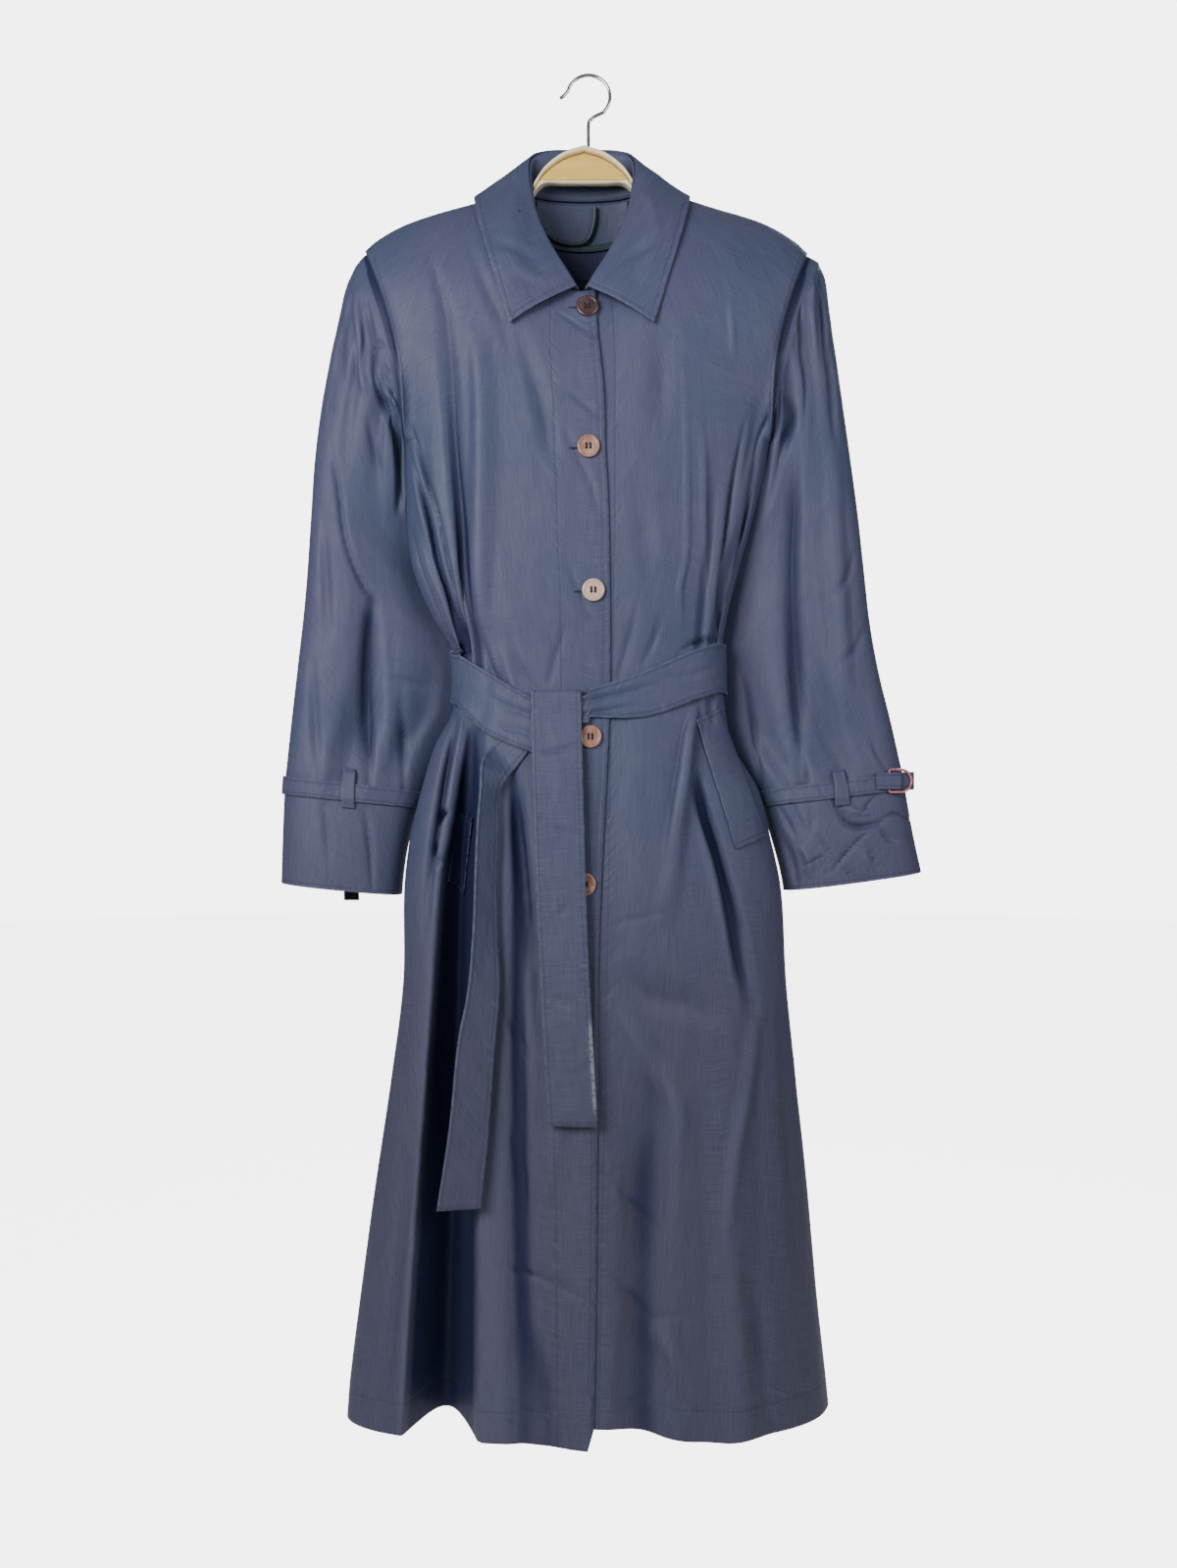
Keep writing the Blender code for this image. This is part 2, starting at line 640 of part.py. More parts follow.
def seam_in(row, first=False, last=False):
    """Pulls a row's end points in from a seam by half of the seam's gap."""
    row = list(row)
    if first:
        row[0] += (row[1] - row[0]).normalized() * SEAM
    if last:
        row[-1] += (row[-2] - row[-1]).normalized() * SEAM
    return row


def edge_share(level, x):
    """The across value that lies at x on this level of the front."""
    z = body_point(-1, 0.01, level).z
    width = armhole(1, -1, level)[0] if level <= 1 else body("left" if x > 0 else "right", z)
    return 2 / math.pi * math.asin(clamp(x / width, -1, 1))


def top_shares(side, start_x, count, neck_columns):
    """Across values that place a panel's columns evenly along the neckline, then along the shoulder."""
    tip = armhole(side, -1, 0)[0]
    start = math.acos(side * (start_x - NECK_CENTRE) / NECK_REACH)
    places = []
    for j in range(count):
        if j <= neck_columns:
            x = NECK_CENTRE + side * NECK_REACH * math.cos(blend(start, 0, j / neck_columns))
        else:
            outward = (j - neck_columns) / (count - 1 - neck_columns)
            x = blend(NECK_CENTRE + side * NECK_REACH, side * tip, outward)
        width = tip if side * x > 0 else armhole(-side, -1, 0)[0]
        places.append(2 / math.pi * math.asin(clamp(x / width, -1, 1)))
    return places


def shares(top, start, end, level):
    """A level's across values: as along the upper edge on top, even from the underarm down."""
    count = len(top)
    even = [blend(start, end, j / (count - 1)) for j in range(count)]
    return [blend(a, b, smooth(level)) for a, b in zip(top, even)]


LAP_COLUMNS = "z x"
LAP_EDGE = (
    (-212, 7), (-262, 14.9), (-355, 14.8), (-400, 17.4), (-486, 19.2),
    (-573, 19.2), (-625, 17.4), (-747, 11.3), (-833, 8.6), (-969, 7.7), (-1087, 6.8), (-1237, 4.2),
)


def shorten_top(rows):
    """Keeps the shoulder and neck seams open by the seam's gap."""
    rows[0] = [p + (q - p).normalized() * SEAM for p, q in zip(rows[0], rows[1])]
    return rows


def build_panel(name, rows):
    """A panel as its bodice and its skirt, which meet under the belt."""
    waist = YOKE_ROWS + SKIRT_LEVELS.index(WAIST_HEIGHT)
    rows = shorten_top(rows)
    bodice, skirt = list(rows[: waist + 1]), list(rows[waist:])
    bodice[-1] = [p + (q - p).normalized() * SEAM / 2 for p, q in zip(bodice[-1], bodice[-2])]
    skirt[0] = [p + (q - p).normalized() * SEAM / 2 for p, q in zip(skirt[0], skirt[1])]
    surface(name, bodice, SLATE, CLOTH)
    surface("skirt_" + name, skirt, SLATE, CLOTH)


def build_fronts():
    over_top = top_shares(-1, LAP_EDGE[0][1], FRONT_COLUMNS, NECK_COLUMNS)
    under_top = top_shares(1, UNDER_EDGE, FRONT_COLUMNS, NECK_COLUMNS)
    right, left = [], []
    for level in levels():
        z = body_point(-1, 0.01, level).z
        edge = edge_share(level, read(LAP_COLUMNS, LAP_EDGE, "z", "x", z))
        under = edge_share(level, UNDER_EDGE)
        over_row = body_row(-1, shares(over_top, edge, -1, level), level)
        under_row = body_row(-1, shares(under_top, under, 1, level), level)
        for point in under_row:
            point.y += LAP * (1 - smooth((point.x - 18) / 30))
        right.append(seam_in(over_row, last=level > 0.99))
        left.append(seam_in(under_row, last=level > 0.99))
    build_panel("front_right", right)
    build_panel("front_left", left)
    return Panel(right, -1), Panel(left, -1)


def build_back():
    half = BACK_COLUMNS // 2
    left = top_shares(1, NECK_CENTRE, half + 1, NECK_COLUMNS - 2)
    right = top_shares(-1, NECK_CENTRE, half + 1, NECK_COLUMNS - 2)
    top = right[::-1] + left[1:]
    rows = []
    for level in levels():
        row = body_row(1, shares(top, -1, 1, level), level)
        rows.append(seam_in(row, first=level > 0.99, last=level > 0.99))
    build_panel("back", rows)
    return Panel(rows, 1)


def build_sleeves():
    for side, name in ((-1, "sleeve_right"), (1, "sleeve_left")):
        angles = [2 * math.pi * j / SLEEVE_SIDES for j in range(SLEEVE_SIDES)]
        rows = [[armhole_ring(side, a, reach) for a in angles] for reach in (SLEEVE_ROOT, SLEEVE_COLLAR)]
        for row in range(len(SLEEVE_RIGHT)):
            rows.append([sleeve_section(side, row, a) for a in angles])
        surface(name, rows, SLATE, CLOTH, ring=True)


def collar_line(name):
    """The collar's roll or edge from the right front round the back to the left front."""
    places = [column(COLLAR_COLUMNS, COLLAR_ROWS, name + axis) for axis in ("_x", "_y", "_z")]
    right = [Vector((NECK_CENTRE - x, y, z)) for x, y, z in zip(*places)]
    left = [Vector((NECK_CENTRE + x, y, z)) for x, y, z in zip(*places)]
    return right + left[-2::-1]


def neck_points():
    """Where the collar's sections meet the neckline."""
    right = []
    for degrees in column(COLLAR_COLUMNS, COLLAR_ROWS, "neck"):
        turn = math.radians(degrees)
        z, y = neckline(-1 if degrees > 0 else 1, abs(math.sin(turn)))
        right.append(Vector((NECK_CENTRE - NECK_REACH * math.cos(turn), y, z)))
    left = [Vector((2 * NECK_CENTRE - p.x, p.y, p.z)) for p in right]
    return right + left[-2::-1]


def build_collar(panels):
    inner, outer = [], []
    rest = CLOTH / 2 + GAP + BAND / 2
    lines = neck_points(), collar_line("roll"), collar_line("edge")
    lines = [[Vector(p) for p in through(line, COLLAR_SECTIONS)] for line in lines]
    for n, r, e in zip(*lines):
        rise = min(1.0, abs(n.z - NECK_TOP) / NECK_DROP) if n.y < 0 else n.y / NECK_BACK
        away = Vector(((NECK_CENTRE - n.x) / NECK_REACH, -0.6 * rise if n.y > 0 else 0, rise)).normalized()
        foot = n + away * (GAP + BAND / 2 + 0.5)
        inward = (Vector((NECK_CENTRE, 10, r.z)) - r).normalized()
        head = r + inward * STAND_INSIDE + (n - r).normalized() * 1.5
        inner.append([blend(foot, head, i / STAND_ROWS) for i in range(STAND_ROWS + 1)])
        strip = []
        for i in range(FALL_ROWS + 1):
            t = i / FALL_ROWS
            outward = Vector((e.x - NECK_CENTRE, e.y, 0)).normalized()
            point = blend(r, e, t) + outward * FALL_BULGE * math.sin(math.pi * t)
            target = Vector((blend(NECK_CENTRE, point.x, 0.8), 0, min(point.z, -130) - 25))
            for panel in panels:
                point = panel.press(point, target, rest + 0.3) if t > 0.1 else point
            strip.append(point)
        outer.append(strip)
    surface("collar_stand", inner, SLATE, BAND)
    surface("collar_fall", settle(outer, panels, rest + 0.6, 1), SLATE, BAND)


def waist_point(turn, z, lift):
    """A point round the waist, lifted off the unfolded body. Turn is 0 in front, -1 at the right side line,
    1 at the left one, and on to -2 or 2 at the middle of the back."""
    spots = []
    for t in (turn - 0.01, turn, turn + 0.01):
        facing = -1 if abs(t) < 1 else 1
        across = t if abs(t) < 1 else math.copysign(2 - abs(t), t)
        spots.append(body_point(facing, across, 1 + (UNDERARM - z) / (UNDERARM - HEM), folded=False))
    along = spots[2] - spots[0]
    out = Vector((along.y, -along.x, 0)).normalized()
    return spots[1] + out * lift


def waist_turn(x, z):
    width = body("right" if x < 0 else "left", z)
    return 2 / math.pi * math.asin(clamp(x / width, -1, 1))


def belt_lift(x):
    """How far the belt stands off: it makes room for the end that is tucked behind it."""
    rest = CLOTH / 2 + GAP + BAND / 2 + blend(BELT_CLEAR, BELT_CLEAR_ROUND, smooth((abs(x) - 60) / 40))
    return rest + KNOT_ROOM * (1 - smooth((abs(x - KNOT_CENTRE) - KNOT_HALF) / 14))


def build_belt(panel):
    rows = []
    stations = [(waist_turn(x, z), z, half, belt_lift(x)) for x, z, half in through(BELT_RIGHT, 8)]
    first, last = waist_turn(BELT_RIGHT[-1][0], BELT_BACK), waist_turn(BELT_LEFT[0][0], BELT_BACK)
    for i in range(1, BELT_STEPS):
        t = i / BELT_STEPS
        turn = first - t * (4 + first - last)
        turn = turn if turn > -2 else turn + 4
        drop = BELT_RIGHT[-1][1] if t < 0.5 else BELT_LEFT[0][1]
        z = blend(BELT_BACK, drop, smooth(abs(2 * t - 1) ** 4))
        stations.append((turn, z, BELT_WIDTH / 2, belt_lift(100)))
    stations += [(waist_turn(x, z), z, half, belt_lift(x)) for x, z, half in through(BELT_LEFT, 12)]
    for turn, z, half, lift in stations:
        rows.append([waist_point(turn, z + half * s, lift) for s in (1, 0.33, -0.33, -1)])
    surface("belt_waist", rows, SLATE, BAND)
    build_over_end(panel)
    build_under_end(panel)


def build_over_end(panel):
    """From behind the belt up over its top edge and down in front."""
    rest = CLOTH / 2 + GAP + BAND / 2
    step = BAND + GAP + 0.8
    top = OVER_END[0][0] + 7
    strips = [(top - 27, rest), (top - 15, rest), (top - 3, rest + 0.3), (top, rest + step)]
    strips.append((top - 3, rest + 2 * step))
    heights = [-600, -625, -650, -690, -730, -780, -831, -890, -957]
    strips += [(z, rest + 2 * step + 3.5 * smooth((-600 - z) / 60)) for z in heights]
    rows = []
    for z, lift in strips:
        right, left = (read(OVER_COLUMNS, OVER_END, "z", name, z) for name in ("right", "left"))
        row = []
        for i in range(5):
            x = blend(right, left, i / 4)
            y = min(panel.at(x + d, min(z, -560))[0].y for d in (-8, 0, 8))
            row.append(Vector((x, y - lift, z)))
        rows.append(row)
    surface("belt_over", rows, SLATE, BAND)


def build_under_end(panel):
    """From between the belt and the coat out under the belt's lower edge, then free down."""
    rest = CLOTH / 2 + GAP + BAND / 2 + 0.2
    rows = []
    for i, (x, y, z, half_x, half_y, half_z) in enumerate(through(UNDER_END, UNDER_STEPS)):
        free = smooth(i / UNDER_STEPS * (len(UNDER_END) - 1) - 1.3)
        row = []
        for s in (1, 0.4, -0.3, -1):
            point = Vector((x, y, z)) + Vector((half_x, half_y, half_z)) * s
            lying = min(panel.at(point.x + d, point.z)[0].y for d in (-4, 0, 4)) - rest
            point.y = blend(lying, point.y, free)
            row.append(point)
        rows.append(row)
    surface("belt_under", rows, SLATE, BAND)


def build_buttons(panel):
    for number, (x, z) in enumerate(BUTTONS, 1):
        data = bpy.data.meshes.new(f"button_{number}")
        profile = [(r * MM, 0, -h * MM) for r, h in BUTTON_PROFILE]
        data.from_pydata(profile, [(i, i + 1) for i in range(len(profile) - 1)], [])
        piece = add(f"button_{number}", data, COPPER, 0.35, 0.1)
        turn = piece.modifiers.new("turn", "SCREW")
        turn.steps = turn.render_steps = 16
        turn.use_merge_vertices = True
        turn.merge_threshold = 0.00005
        turn.use_smooth_shade = False
        point, normal = panel.at(x, z)
        piece.location = (point + normal * (CLOTH / 2 + GAP + 0.1)) * MM
        piece.rotation_euler = normal.to_track_quat("-Z", "Y").to_euler()


def build_welts(front_right, front_left):
    """Doubled strips, stiff enough to bridge the small folds under them."""
    welts = ("welt_left", front_left, WELT_LEFT), ("welt_right", front_right, WELT_RIGHT)
    for name, panel, corners in welts:
        a, b, c, d = (Vector(corner) for corner in corners)
        rows = []
        for i in range(WELT_ROWS + 1):
            start, end = blend(a, d, i / WELT_ROWS), blend(b, c, i / WELT_ROWS)
            rows.append([panel.on(*blend(start, end, j / 5), WELT_LIFT) for j in range(6)])
        surface(name, settle(rows, [panel], WELT_LIFT, 0), SLATE, BAND)


def build_cuffs():
    angles = [2 * math.pi * j / SLEEVE_SIDES for j in range(SLEEVE_SIDES)]
    lift = CLOTH / 2 + GAP + BAND / 2 + 0.3
    for side, name, span in ((-1, "right", LOOP_SPAN_RIGHT), (1, "left", LOOP_SPAN_LEFT)):
        strap = [[sleeve_lift(side, row, a, lift) for a in angles] for row in STRAP_ROWS]
        surface("cuff_strap_" + name, strap, SLATE, BAND, ring=True)
        loop = []
        for row in LOOP_ROWS:
            away = lift - 0.1 if row in (LOOP_ROWS[0], LOOP_ROWS[-1]) else lift + BAND + GAP
            loop.append([sleeve_lift(side, row, math.radians(a), away) for a in span])
        surface("strap_loop_" + name, loop, SLATE, LOOP_WALL)


def sleeve_lift(side, row, angle, lift):
    """A point off the sleeve as it is faceted, between its sections and its sides."""
    upper = math.floor(row)
    step = 2 * math.pi / SLEEVE_SIDES
    first = math.floor(angle / step) * step
    corners = [
        blend(sleeve_section(side, upper, a), sleeve_section(side, upper + 1, a), row - upper)
        for a in (first, first + step)
    ]
    middle = blend(*corners, (angle - first) / step)
    down = sleeve_section(side, upper + 1, angle) - sleeve_section(side, upper, angle)
    around = sleeve_section(side, row, angle + 0.1) - sleeve_section(side, row, angle - 0.1)
    normal = around.cross(down).normalized()
    centre = (sleeve_section(side, row, 0) + sleeve_section(side, row, math.pi)) / 2
    if normal.dot(middle - centre) < 0:
        normal = -normal
    return middle + normal * lift


def build_ring():
    """The D-ring stands in front of the outer end of the left cuff strap."""
    row = STRAP_ROWS[1]
    x = sleeve_section(1, row, 0).x - RING_HALF
    y = sleeve_lift(1, row, math.radians(48), 0).y - RING_WIRE - GAP
    points = [(0, -RING_HALF), (0, 0), (0, RING_HALF)]
    bow = np.linspace(0.5, math.pi - 0.5, 9)
    points += [(RING_HALF * math.sin(a), RING_HALF * math.cos(a)) for a in bow]
    points = [(x + across, y, RING_HEIGHT + up) for across, up in points]
    rod("strap_ring_left", points, RING_WIRE, ROSE, 0.3, 0.6, ring=True)


def build_tab():
    centre = sleeve_section(-1, 14, math.radians(-92))
    data = bpy.data.meshes.new("sleeve_tab_right")
    frame = bmesh.new()
    bmesh.ops.create_cube(frame, size=MM)
    bmesh.ops.scale(frame, vec=TAB_SIZE, verts=frame.verts)
    frame.to_mesh(data)
    frame.free()
    piece = add("sleeve_tab_right", data, BLACK, 0.8)
    piece.location = (centre + Vector((0, -CLOTH / 2 - GAP - TAB_SIZE[1], 3))) * MM


def build_neck_inside(back):
    rest = -(CLOTH + GAP + 0.5)
    facing, lining, binding = [], [], []
    for i in range(11):
        x = NECK_CENTRE + NECK_INSIDE_HALF * (i / 5 - 1)
        top = top_edge(x, 1)[0] - 3.5
        bottom = FACING_BOTTOM + 8 * ((x - NECK_CENTRE) / NECK_INSIDE_HALF) ** 2
        facing.append([back.on(x, blend(top, bottom, i / 5), rest) for i in range(6)])
        lining.append([back.on(x, blend(bottom - GAP, LINING_BOTTOM, i / 8), rest) for i in range(9)])
        binding.append([back.on(x, bottom + dz, 2 * rest) for dz in (3, 0, -3)])
    surface("neck_facing", facing, SLATE, CLOTH)
    surface("back_lining", lining, NAVY, CLOTH)
    surface("facing_binding", binding, TEAL, CLOTH)
    points = []
    for x, z in through(LOOP_POINTS, 18):
        points.append(back.on(x, z, 2 * rest - CLOTH / 2 - GAP - LOOP_RADIUS))
    rod("hanger_loop", points, LOOP_RADIUS, TEAL, 0.5, 0.0)


def build_hanger():
    heights = []
    for i in range(-24, 25):
        reach = HANGER_REACH * math.copysign(abs(i / 24) ** 1.2, i)
        top = read(HANGER_COLUMNS, HANGER_ROWS, "reach", "top", abs(reach))
        bottom = read(HANGER_COLUMNS, HANGER_ROWS, "reach", "bottom", abs(reach))
        heights.append((reach + HANGER_CENTRE, top, bottom))
    outline_body("hanger_body", heights, HANGER_DEPTH, WOOD)
    rim = [(x, t + RIM - GAP, t + GAP) for x, t, b in heights if abs(x - HANGER_CENTRE) < RIM_REACH]
    outline_body("hanger_rim", rim, HANGER_DEPTH + 3, CREAM)


def outline_body(name, heights, depth, colour):
    """A flat piece between an upper and a lower line, with rounded edges."""
    count = len(heights)
    points = [(x, top) for x, top, _ in heights] + [(x, bottom) for x, _, bottom in reversed(heights)]
    data = bpy.data.curves.new(name, "CURVE")
    data.dimensions = "2D"
    data.fill_mode = "BOTH"
    data.extrude = depth / 2 * MM
    line = data.splines.new("POLY")
    line.points.add(2 * count - 1)
    line.use_cyclic_u = True
    for target, (x, z) in zip(line.points, points):
        target.co = (x * MM, z * MM, 0, 1)
    piece = add(name, data, colour, 0.4)
    piece.rotation_euler = (math.pi / 2, 0, 0)


def build_hook():
    centre = Vector((0, 0, HOOK_WIRE - HOOK_RADIUS))
    points = [(-26.4, 0, -20), (-23.5, 0, -18)]
    for angle in np.linspace(165, -48, 22):
        turn = math.radians(angle)
        points.append(centre + Vector((math.cos(turn), 0, math.sin(turn))) * HOOK_RADIUS)
    points += [(6.5, 0, -36.5), (2.5, 0, -39.5), (0, 0, -44), (0, 0, -66.2)]
    rod("hanger_hook", points, HOOK_WIRE, STEEL, 0.15, 1.0)


def main():
    for obj in list(bpy.data.objects):
        bpy.data.objects.remove(obj)
    coat = bpy.data.collections.new("raincoat")
    bpy.context.scene.collection.children.link(coat)
    front_right, front_left = build_fronts()
    back = build_back()
    build_sleeves()
    build_collar((front_right, front_left, back))
    build_belt(front_right)
    build_buttons(front_right)
    build_welts(front_right, front_left)
    build_cuffs()
    build_ring()
    build_tab()
    build_neck_inside(back)
    build_hanger()
    build_hook()


main()
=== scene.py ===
import math

import bmesh
import bpy
import numpy as np
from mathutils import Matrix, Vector
from mathutils.bvhtree import BVHTree


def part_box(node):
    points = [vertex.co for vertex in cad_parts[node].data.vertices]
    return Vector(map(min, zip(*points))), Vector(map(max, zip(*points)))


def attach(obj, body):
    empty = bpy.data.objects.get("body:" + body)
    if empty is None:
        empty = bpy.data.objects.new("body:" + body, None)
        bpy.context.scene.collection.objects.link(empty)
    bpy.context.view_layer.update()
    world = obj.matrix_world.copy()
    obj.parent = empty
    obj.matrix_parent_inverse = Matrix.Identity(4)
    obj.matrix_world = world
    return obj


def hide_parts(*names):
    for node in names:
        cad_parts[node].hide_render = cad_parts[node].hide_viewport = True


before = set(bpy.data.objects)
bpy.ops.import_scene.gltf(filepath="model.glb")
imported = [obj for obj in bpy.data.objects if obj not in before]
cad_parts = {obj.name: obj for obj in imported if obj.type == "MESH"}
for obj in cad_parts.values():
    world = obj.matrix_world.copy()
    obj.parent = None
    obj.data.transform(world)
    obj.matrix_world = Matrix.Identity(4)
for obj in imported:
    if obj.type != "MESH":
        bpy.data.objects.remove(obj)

# A belted raincoat on its hanger. Sizes are in millimetres unless a name says otherwise:
# +Z is up, the coat's front faces -Y, and the wearer's left is +X.
mm, perMetre = 0.001, 1000.0
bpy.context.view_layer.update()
cloth = dict(
    wall=1.2, band=1.8, gap=0.4, seam=-0.15, inside=60,
    creaseScale=1.5, creaseSteps=6, foldRounds=60, noSeam=99.0,
    weave=0.8,
)
waves = dict(  # of hanging cloth: amount and size of the wide and the fine ones
    count=14, pace=(0.5, 1.6), upright=0.3, body=((0.9, 90), (0.22, 26)),
    sleeve=((0.7, 90), (0.16, 30)), fall=(0.5, 70), beltSize=48,
)
probe = dict(  # how far panels are looked for from a place, and when a lifted sheet lies still
    far=400, near=40, reach=9, rounds=5, still=0.05, below=26, past=6, pull=60,
)
camera = dict(
    away=1355, height=-659.4, focal=1481.5, frame=(1200, 1599), sensor=36, clip=(0.05, 60),
)
studio = dict(floor=-1560, floorRadius=9000, background=5.2, ambient=0.16, floorGlow=4.6)
lamps = dict(  # place, aim, size, power and colour
    softboxLeft=((-1.0, -1.5, 0.0), (0, 0, 0.15), 1.0, 37, (1.0, 0.99, 0.98)),
    softboxRight=((1.2, -1.4, -0.05), (0, 0, 0.1), 1.0, 13, (0.97, 0.98, 1.0)),
    softboxBehind=((0.6, 1.9, 0.4), (0, 0, -0.6), 1.4, 34, (1.0, 1.0, 1.0)),
)
restOnCoat = cloth["wall"] / 2 + cloth["gap"] + cloth["band"] / 2


def blend(a, b, t):
    return a + (b - a) * t


def smooth(t):
    t = np.clip(t, 0, 1)
    return t * t * (3 - 2 * t)


def hump(distance):  # a bell of height 1 that ends at a distance of 1
    return np.cos(np.pi / 2 * np.clip(distance, -1, 1)) ** 2


def power(value, exponent):
    return np.sign(value) * np.abs(value) ** exponent


def unit(vectors):
    return vectors / np.maximum(np.linalg.norm(vectors, axis=-1, keepdims=True), 1e-9)


def circle(count):
    return 2 * np.pi * np.arange(count) / count


def point(x, y, z):
    return np.stack(np.broadcast_arrays(x, y, z), axis=-1).astype(float)


def table(names, rows):
    return dict(zip(names.split(), np.array(rows, float).T))


def curveThrough(keys, values, key):  # a smooth curve through the values, read at many keys
    keys, values = np.asarray(keys, float), np.asarray(values, float)
    if keys[0] > keys[-1]:
        keys, values = keys[::-1], values[::-1]
    places = np.arange(len(keys))
    low, high = np.maximum(places - 1, 0), np.minimum(places + 1, len(keys) - 1)
    slopes = (values[high] - values[low]) / (keys[high] - keys[low])
    key = np.clip(key, keys[0], keys[-1])
    i = np.clip(np.searchsorted(keys, key, side="right") - 1, 0, len(keys) - 2)
    span = keys[i + 1] - keys[i]
    t = (key - keys[i]) / span
    rise = values[i + 1] - values[i]
    bend = (slopes[i] * span - rise) * (1 - t) - (slopes[i + 1] * span - rise) * t
    return values[i] + rise * t + t * (1 - t) * bend


def through(points, count):  # a smooth path through a few points
    columns = np.array(points, float).T
    at = np.linspace(0, len(points) - 1, count + 1)
    return np.stack([curveThrough(np.arange(len(points)), column, at) for column in columns], axis=-1)


def seen(points):  # across and down as the camera sees a place, in a frame of 1200 by 1599
    deep = camera["away"] + points[..., 1]
    across = camera["frame"][0] / 2 + camera["focal"] * points[..., 0] / deep
    down = camera["frame"][1] / 2 - camera["focal"] * (points[..., 2] - camera["height"]) / deep
    return np.stack([across, down], axis=-1)


def lengths(grid, axis):  # how far along its rows or columns each point of a grid lies
    steps = np.linalg.norm(np.diff(grid, axis=axis), axis=-1)
    pad = [(1, 0) if k == axis else (0, 0) for k in range(2)]
    return np.cumsum(np.pad(steps, pad), axis=axis)


def normalsOf(grid, ring=False):
    across = np.roll(grid, -1, 1) - np.roll(grid, 1, 1) if ring else np.gradient(grid, axis=1)
    return unit(np.cross(across, np.gradient(grid, axis=0)))


def creaseDepth(spots, creases):
    # A crease is a sharpness and its stations: across, down, half width and depth. A station of three has
    # no depth, and one of five has two half widths, on the left and on the right.
    depth = np.zeros(spots.shape[:-1])
    for sharp, *stations in creases.values():
        stations = [s if len(s) == 5 else (*s[:3], *s[2:], 0)[:5] for s in stations]
        path = through(stations, cloth["creaseSteps"] * (len(stations) - 1))
        reach = path[:, 2:4].max()
        low, high = path[:, :2].min(0) - reach, path[:, :2].max(0) + reach
        near = np.all((spots > low) & (spots < high), axis=-1)
        spot = spots[near]
        nearest, value = np.full(len(spot), 1e9), np.zeros(len(spot))
        for start, end in zip(path[:-1], path[1:]):
            way = end[:2] - start[:2]
            t = np.clip((spot - start[:2]) @ way / (way @ way), 0, 1)
            off = spot - start[:2] - t[:, None] * way
            away = np.hypot(off[:, 0], off[:, 1])
            onLeft = way[0] * off[:, 1] - way[1] * off[:, 0] > 0
            left, right, deep = (blend(start[k], end[k], t) for k in (2, 3, 4))
            share = np.clip(away / np.where(onLeft, left, right), 0, 1)
            shape = blend(hump(share), (1 - share) ** 2, sharp)
            value = np.where(away < nearest, deep * shape, value)
            nearest = np.minimum(nearest, away)
        depth[near] += value
    return depth


def ripple(spots, size, seed):  # a gentle unevenness, the same on every run
    noise = np.random.default_rng(seed)
    total = np.zeros(spots.shape[:-1])
    for _ in range(waves["count"]):
        turn = noise.uniform(0, 2 * np.pi)
        pace = noise.uniform(*waves["pace"])
        start = noise.uniform(0, 2 * np.pi)
        way = np.array([np.cos(turn), np.sin(turn)]) * 2 * np.pi / size * pace
        total += np.sin(spots @ way + start) / waves["count"]
    return total * 2


def treeOf(grid):
    return BVHTree.FromPolygons([tuple(p) for p in grid.reshape(-1, 3)], facesOf(grid.shape, False).tolist())


def facesOf(shape, ring):
    places = np.arange(shape[0] * shape[1]).reshape(shape[:2])
    if ring:
        places = np.concatenate([places, places[:, :1]], axis=1)
    corners = places[:-1, :-1], places[:-1, 1:], places[1:, 1:], places[1:, :-1]
    return np.stack([c.ravel() for c in corners], axis=-1)


class Panel:  # a cloth panel as it lies, for placing other pieces on it
    def __init__(self, grid, facing):
        self.tree, self.facing = treeOf(grid), facing

    def at(self, x, z):
        start = Vector((x, self.facing * probe["far"], z))
        place, normal, _, _ = self.tree.ray_cast(start, Vector((0, -self.facing, 0)))
        if place is None:
            place, normal, _, _ = self.tree.find_nearest(Vector((x, self.facing * probe["near"], z)))
        return place, normal if normal.y * self.facing > 0 else -normal

    def depthAt(self, x, z, reach):  # the foremost place near this one
        return min(self.at(x + d, z)[0].y for d in (-reach, 0, reach))


def soften(field, rounds, ring=False):
    for _ in range(rounds):
        padded = np.pad(field, [(1, 1), (0, 0), (0, 0)], mode="edge")
        padded = np.pad(padded, [(0, 0), (1, 1), (0, 0)], mode="wrap" if ring else "edge")
        around = padded[:-2, 1:-1] + padded[2:, 1:-1] + padded[1:-1, :-2] + padded[1:-1, 2:]
        field = 0.5 * field + 0.125 * around
    return field


def settle(grid, panels, clearance, fixed=0):  # lifts a sheet until it clears the panels
    for _ in range(probe["rounds"]):
        moves = np.zeros_like(grid)
        for i, row in enumerate(grid):
            for j in range(fixed, len(row)):
                spot = Vector(row[j])
                for panel in panels:
                    hit, normal, _, away = panel.tree.find_nearest(spot)
                    if away > probe["reach"]:
                        continue
                    normal = normal if normal.y * panel.facing > 0 else -normal
                    short = clearance - (spot - hit).dot(normal)
                    if short > np.linalg.norm(moves[i, j]):
                        moves[i, j] = normal * short
        grid = grid + moves
        if np.abs(moves).max() < probe["still"]:
            break
    return grid


def keepUnder(grid, normals, trees, room):  # presses a panel in where a piece lies on it
    moves = np.zeros(grid.shape[:2] + (1,))
    start = probe["below"]
    for i, j in np.ndindex(grid.shape[:2]):
        way = Vector(normals[i, j])
        origin = Vector(grid[i, j]) - way * start
        for tree in trees:
            hit = tree.ray_cast(origin, way, start + room + probe["past"])[3]
            if hit is not None:
                moves[i, j] = max(moves[i, j], start + room - hit)
    return grid - normals * soften(moves, 2)


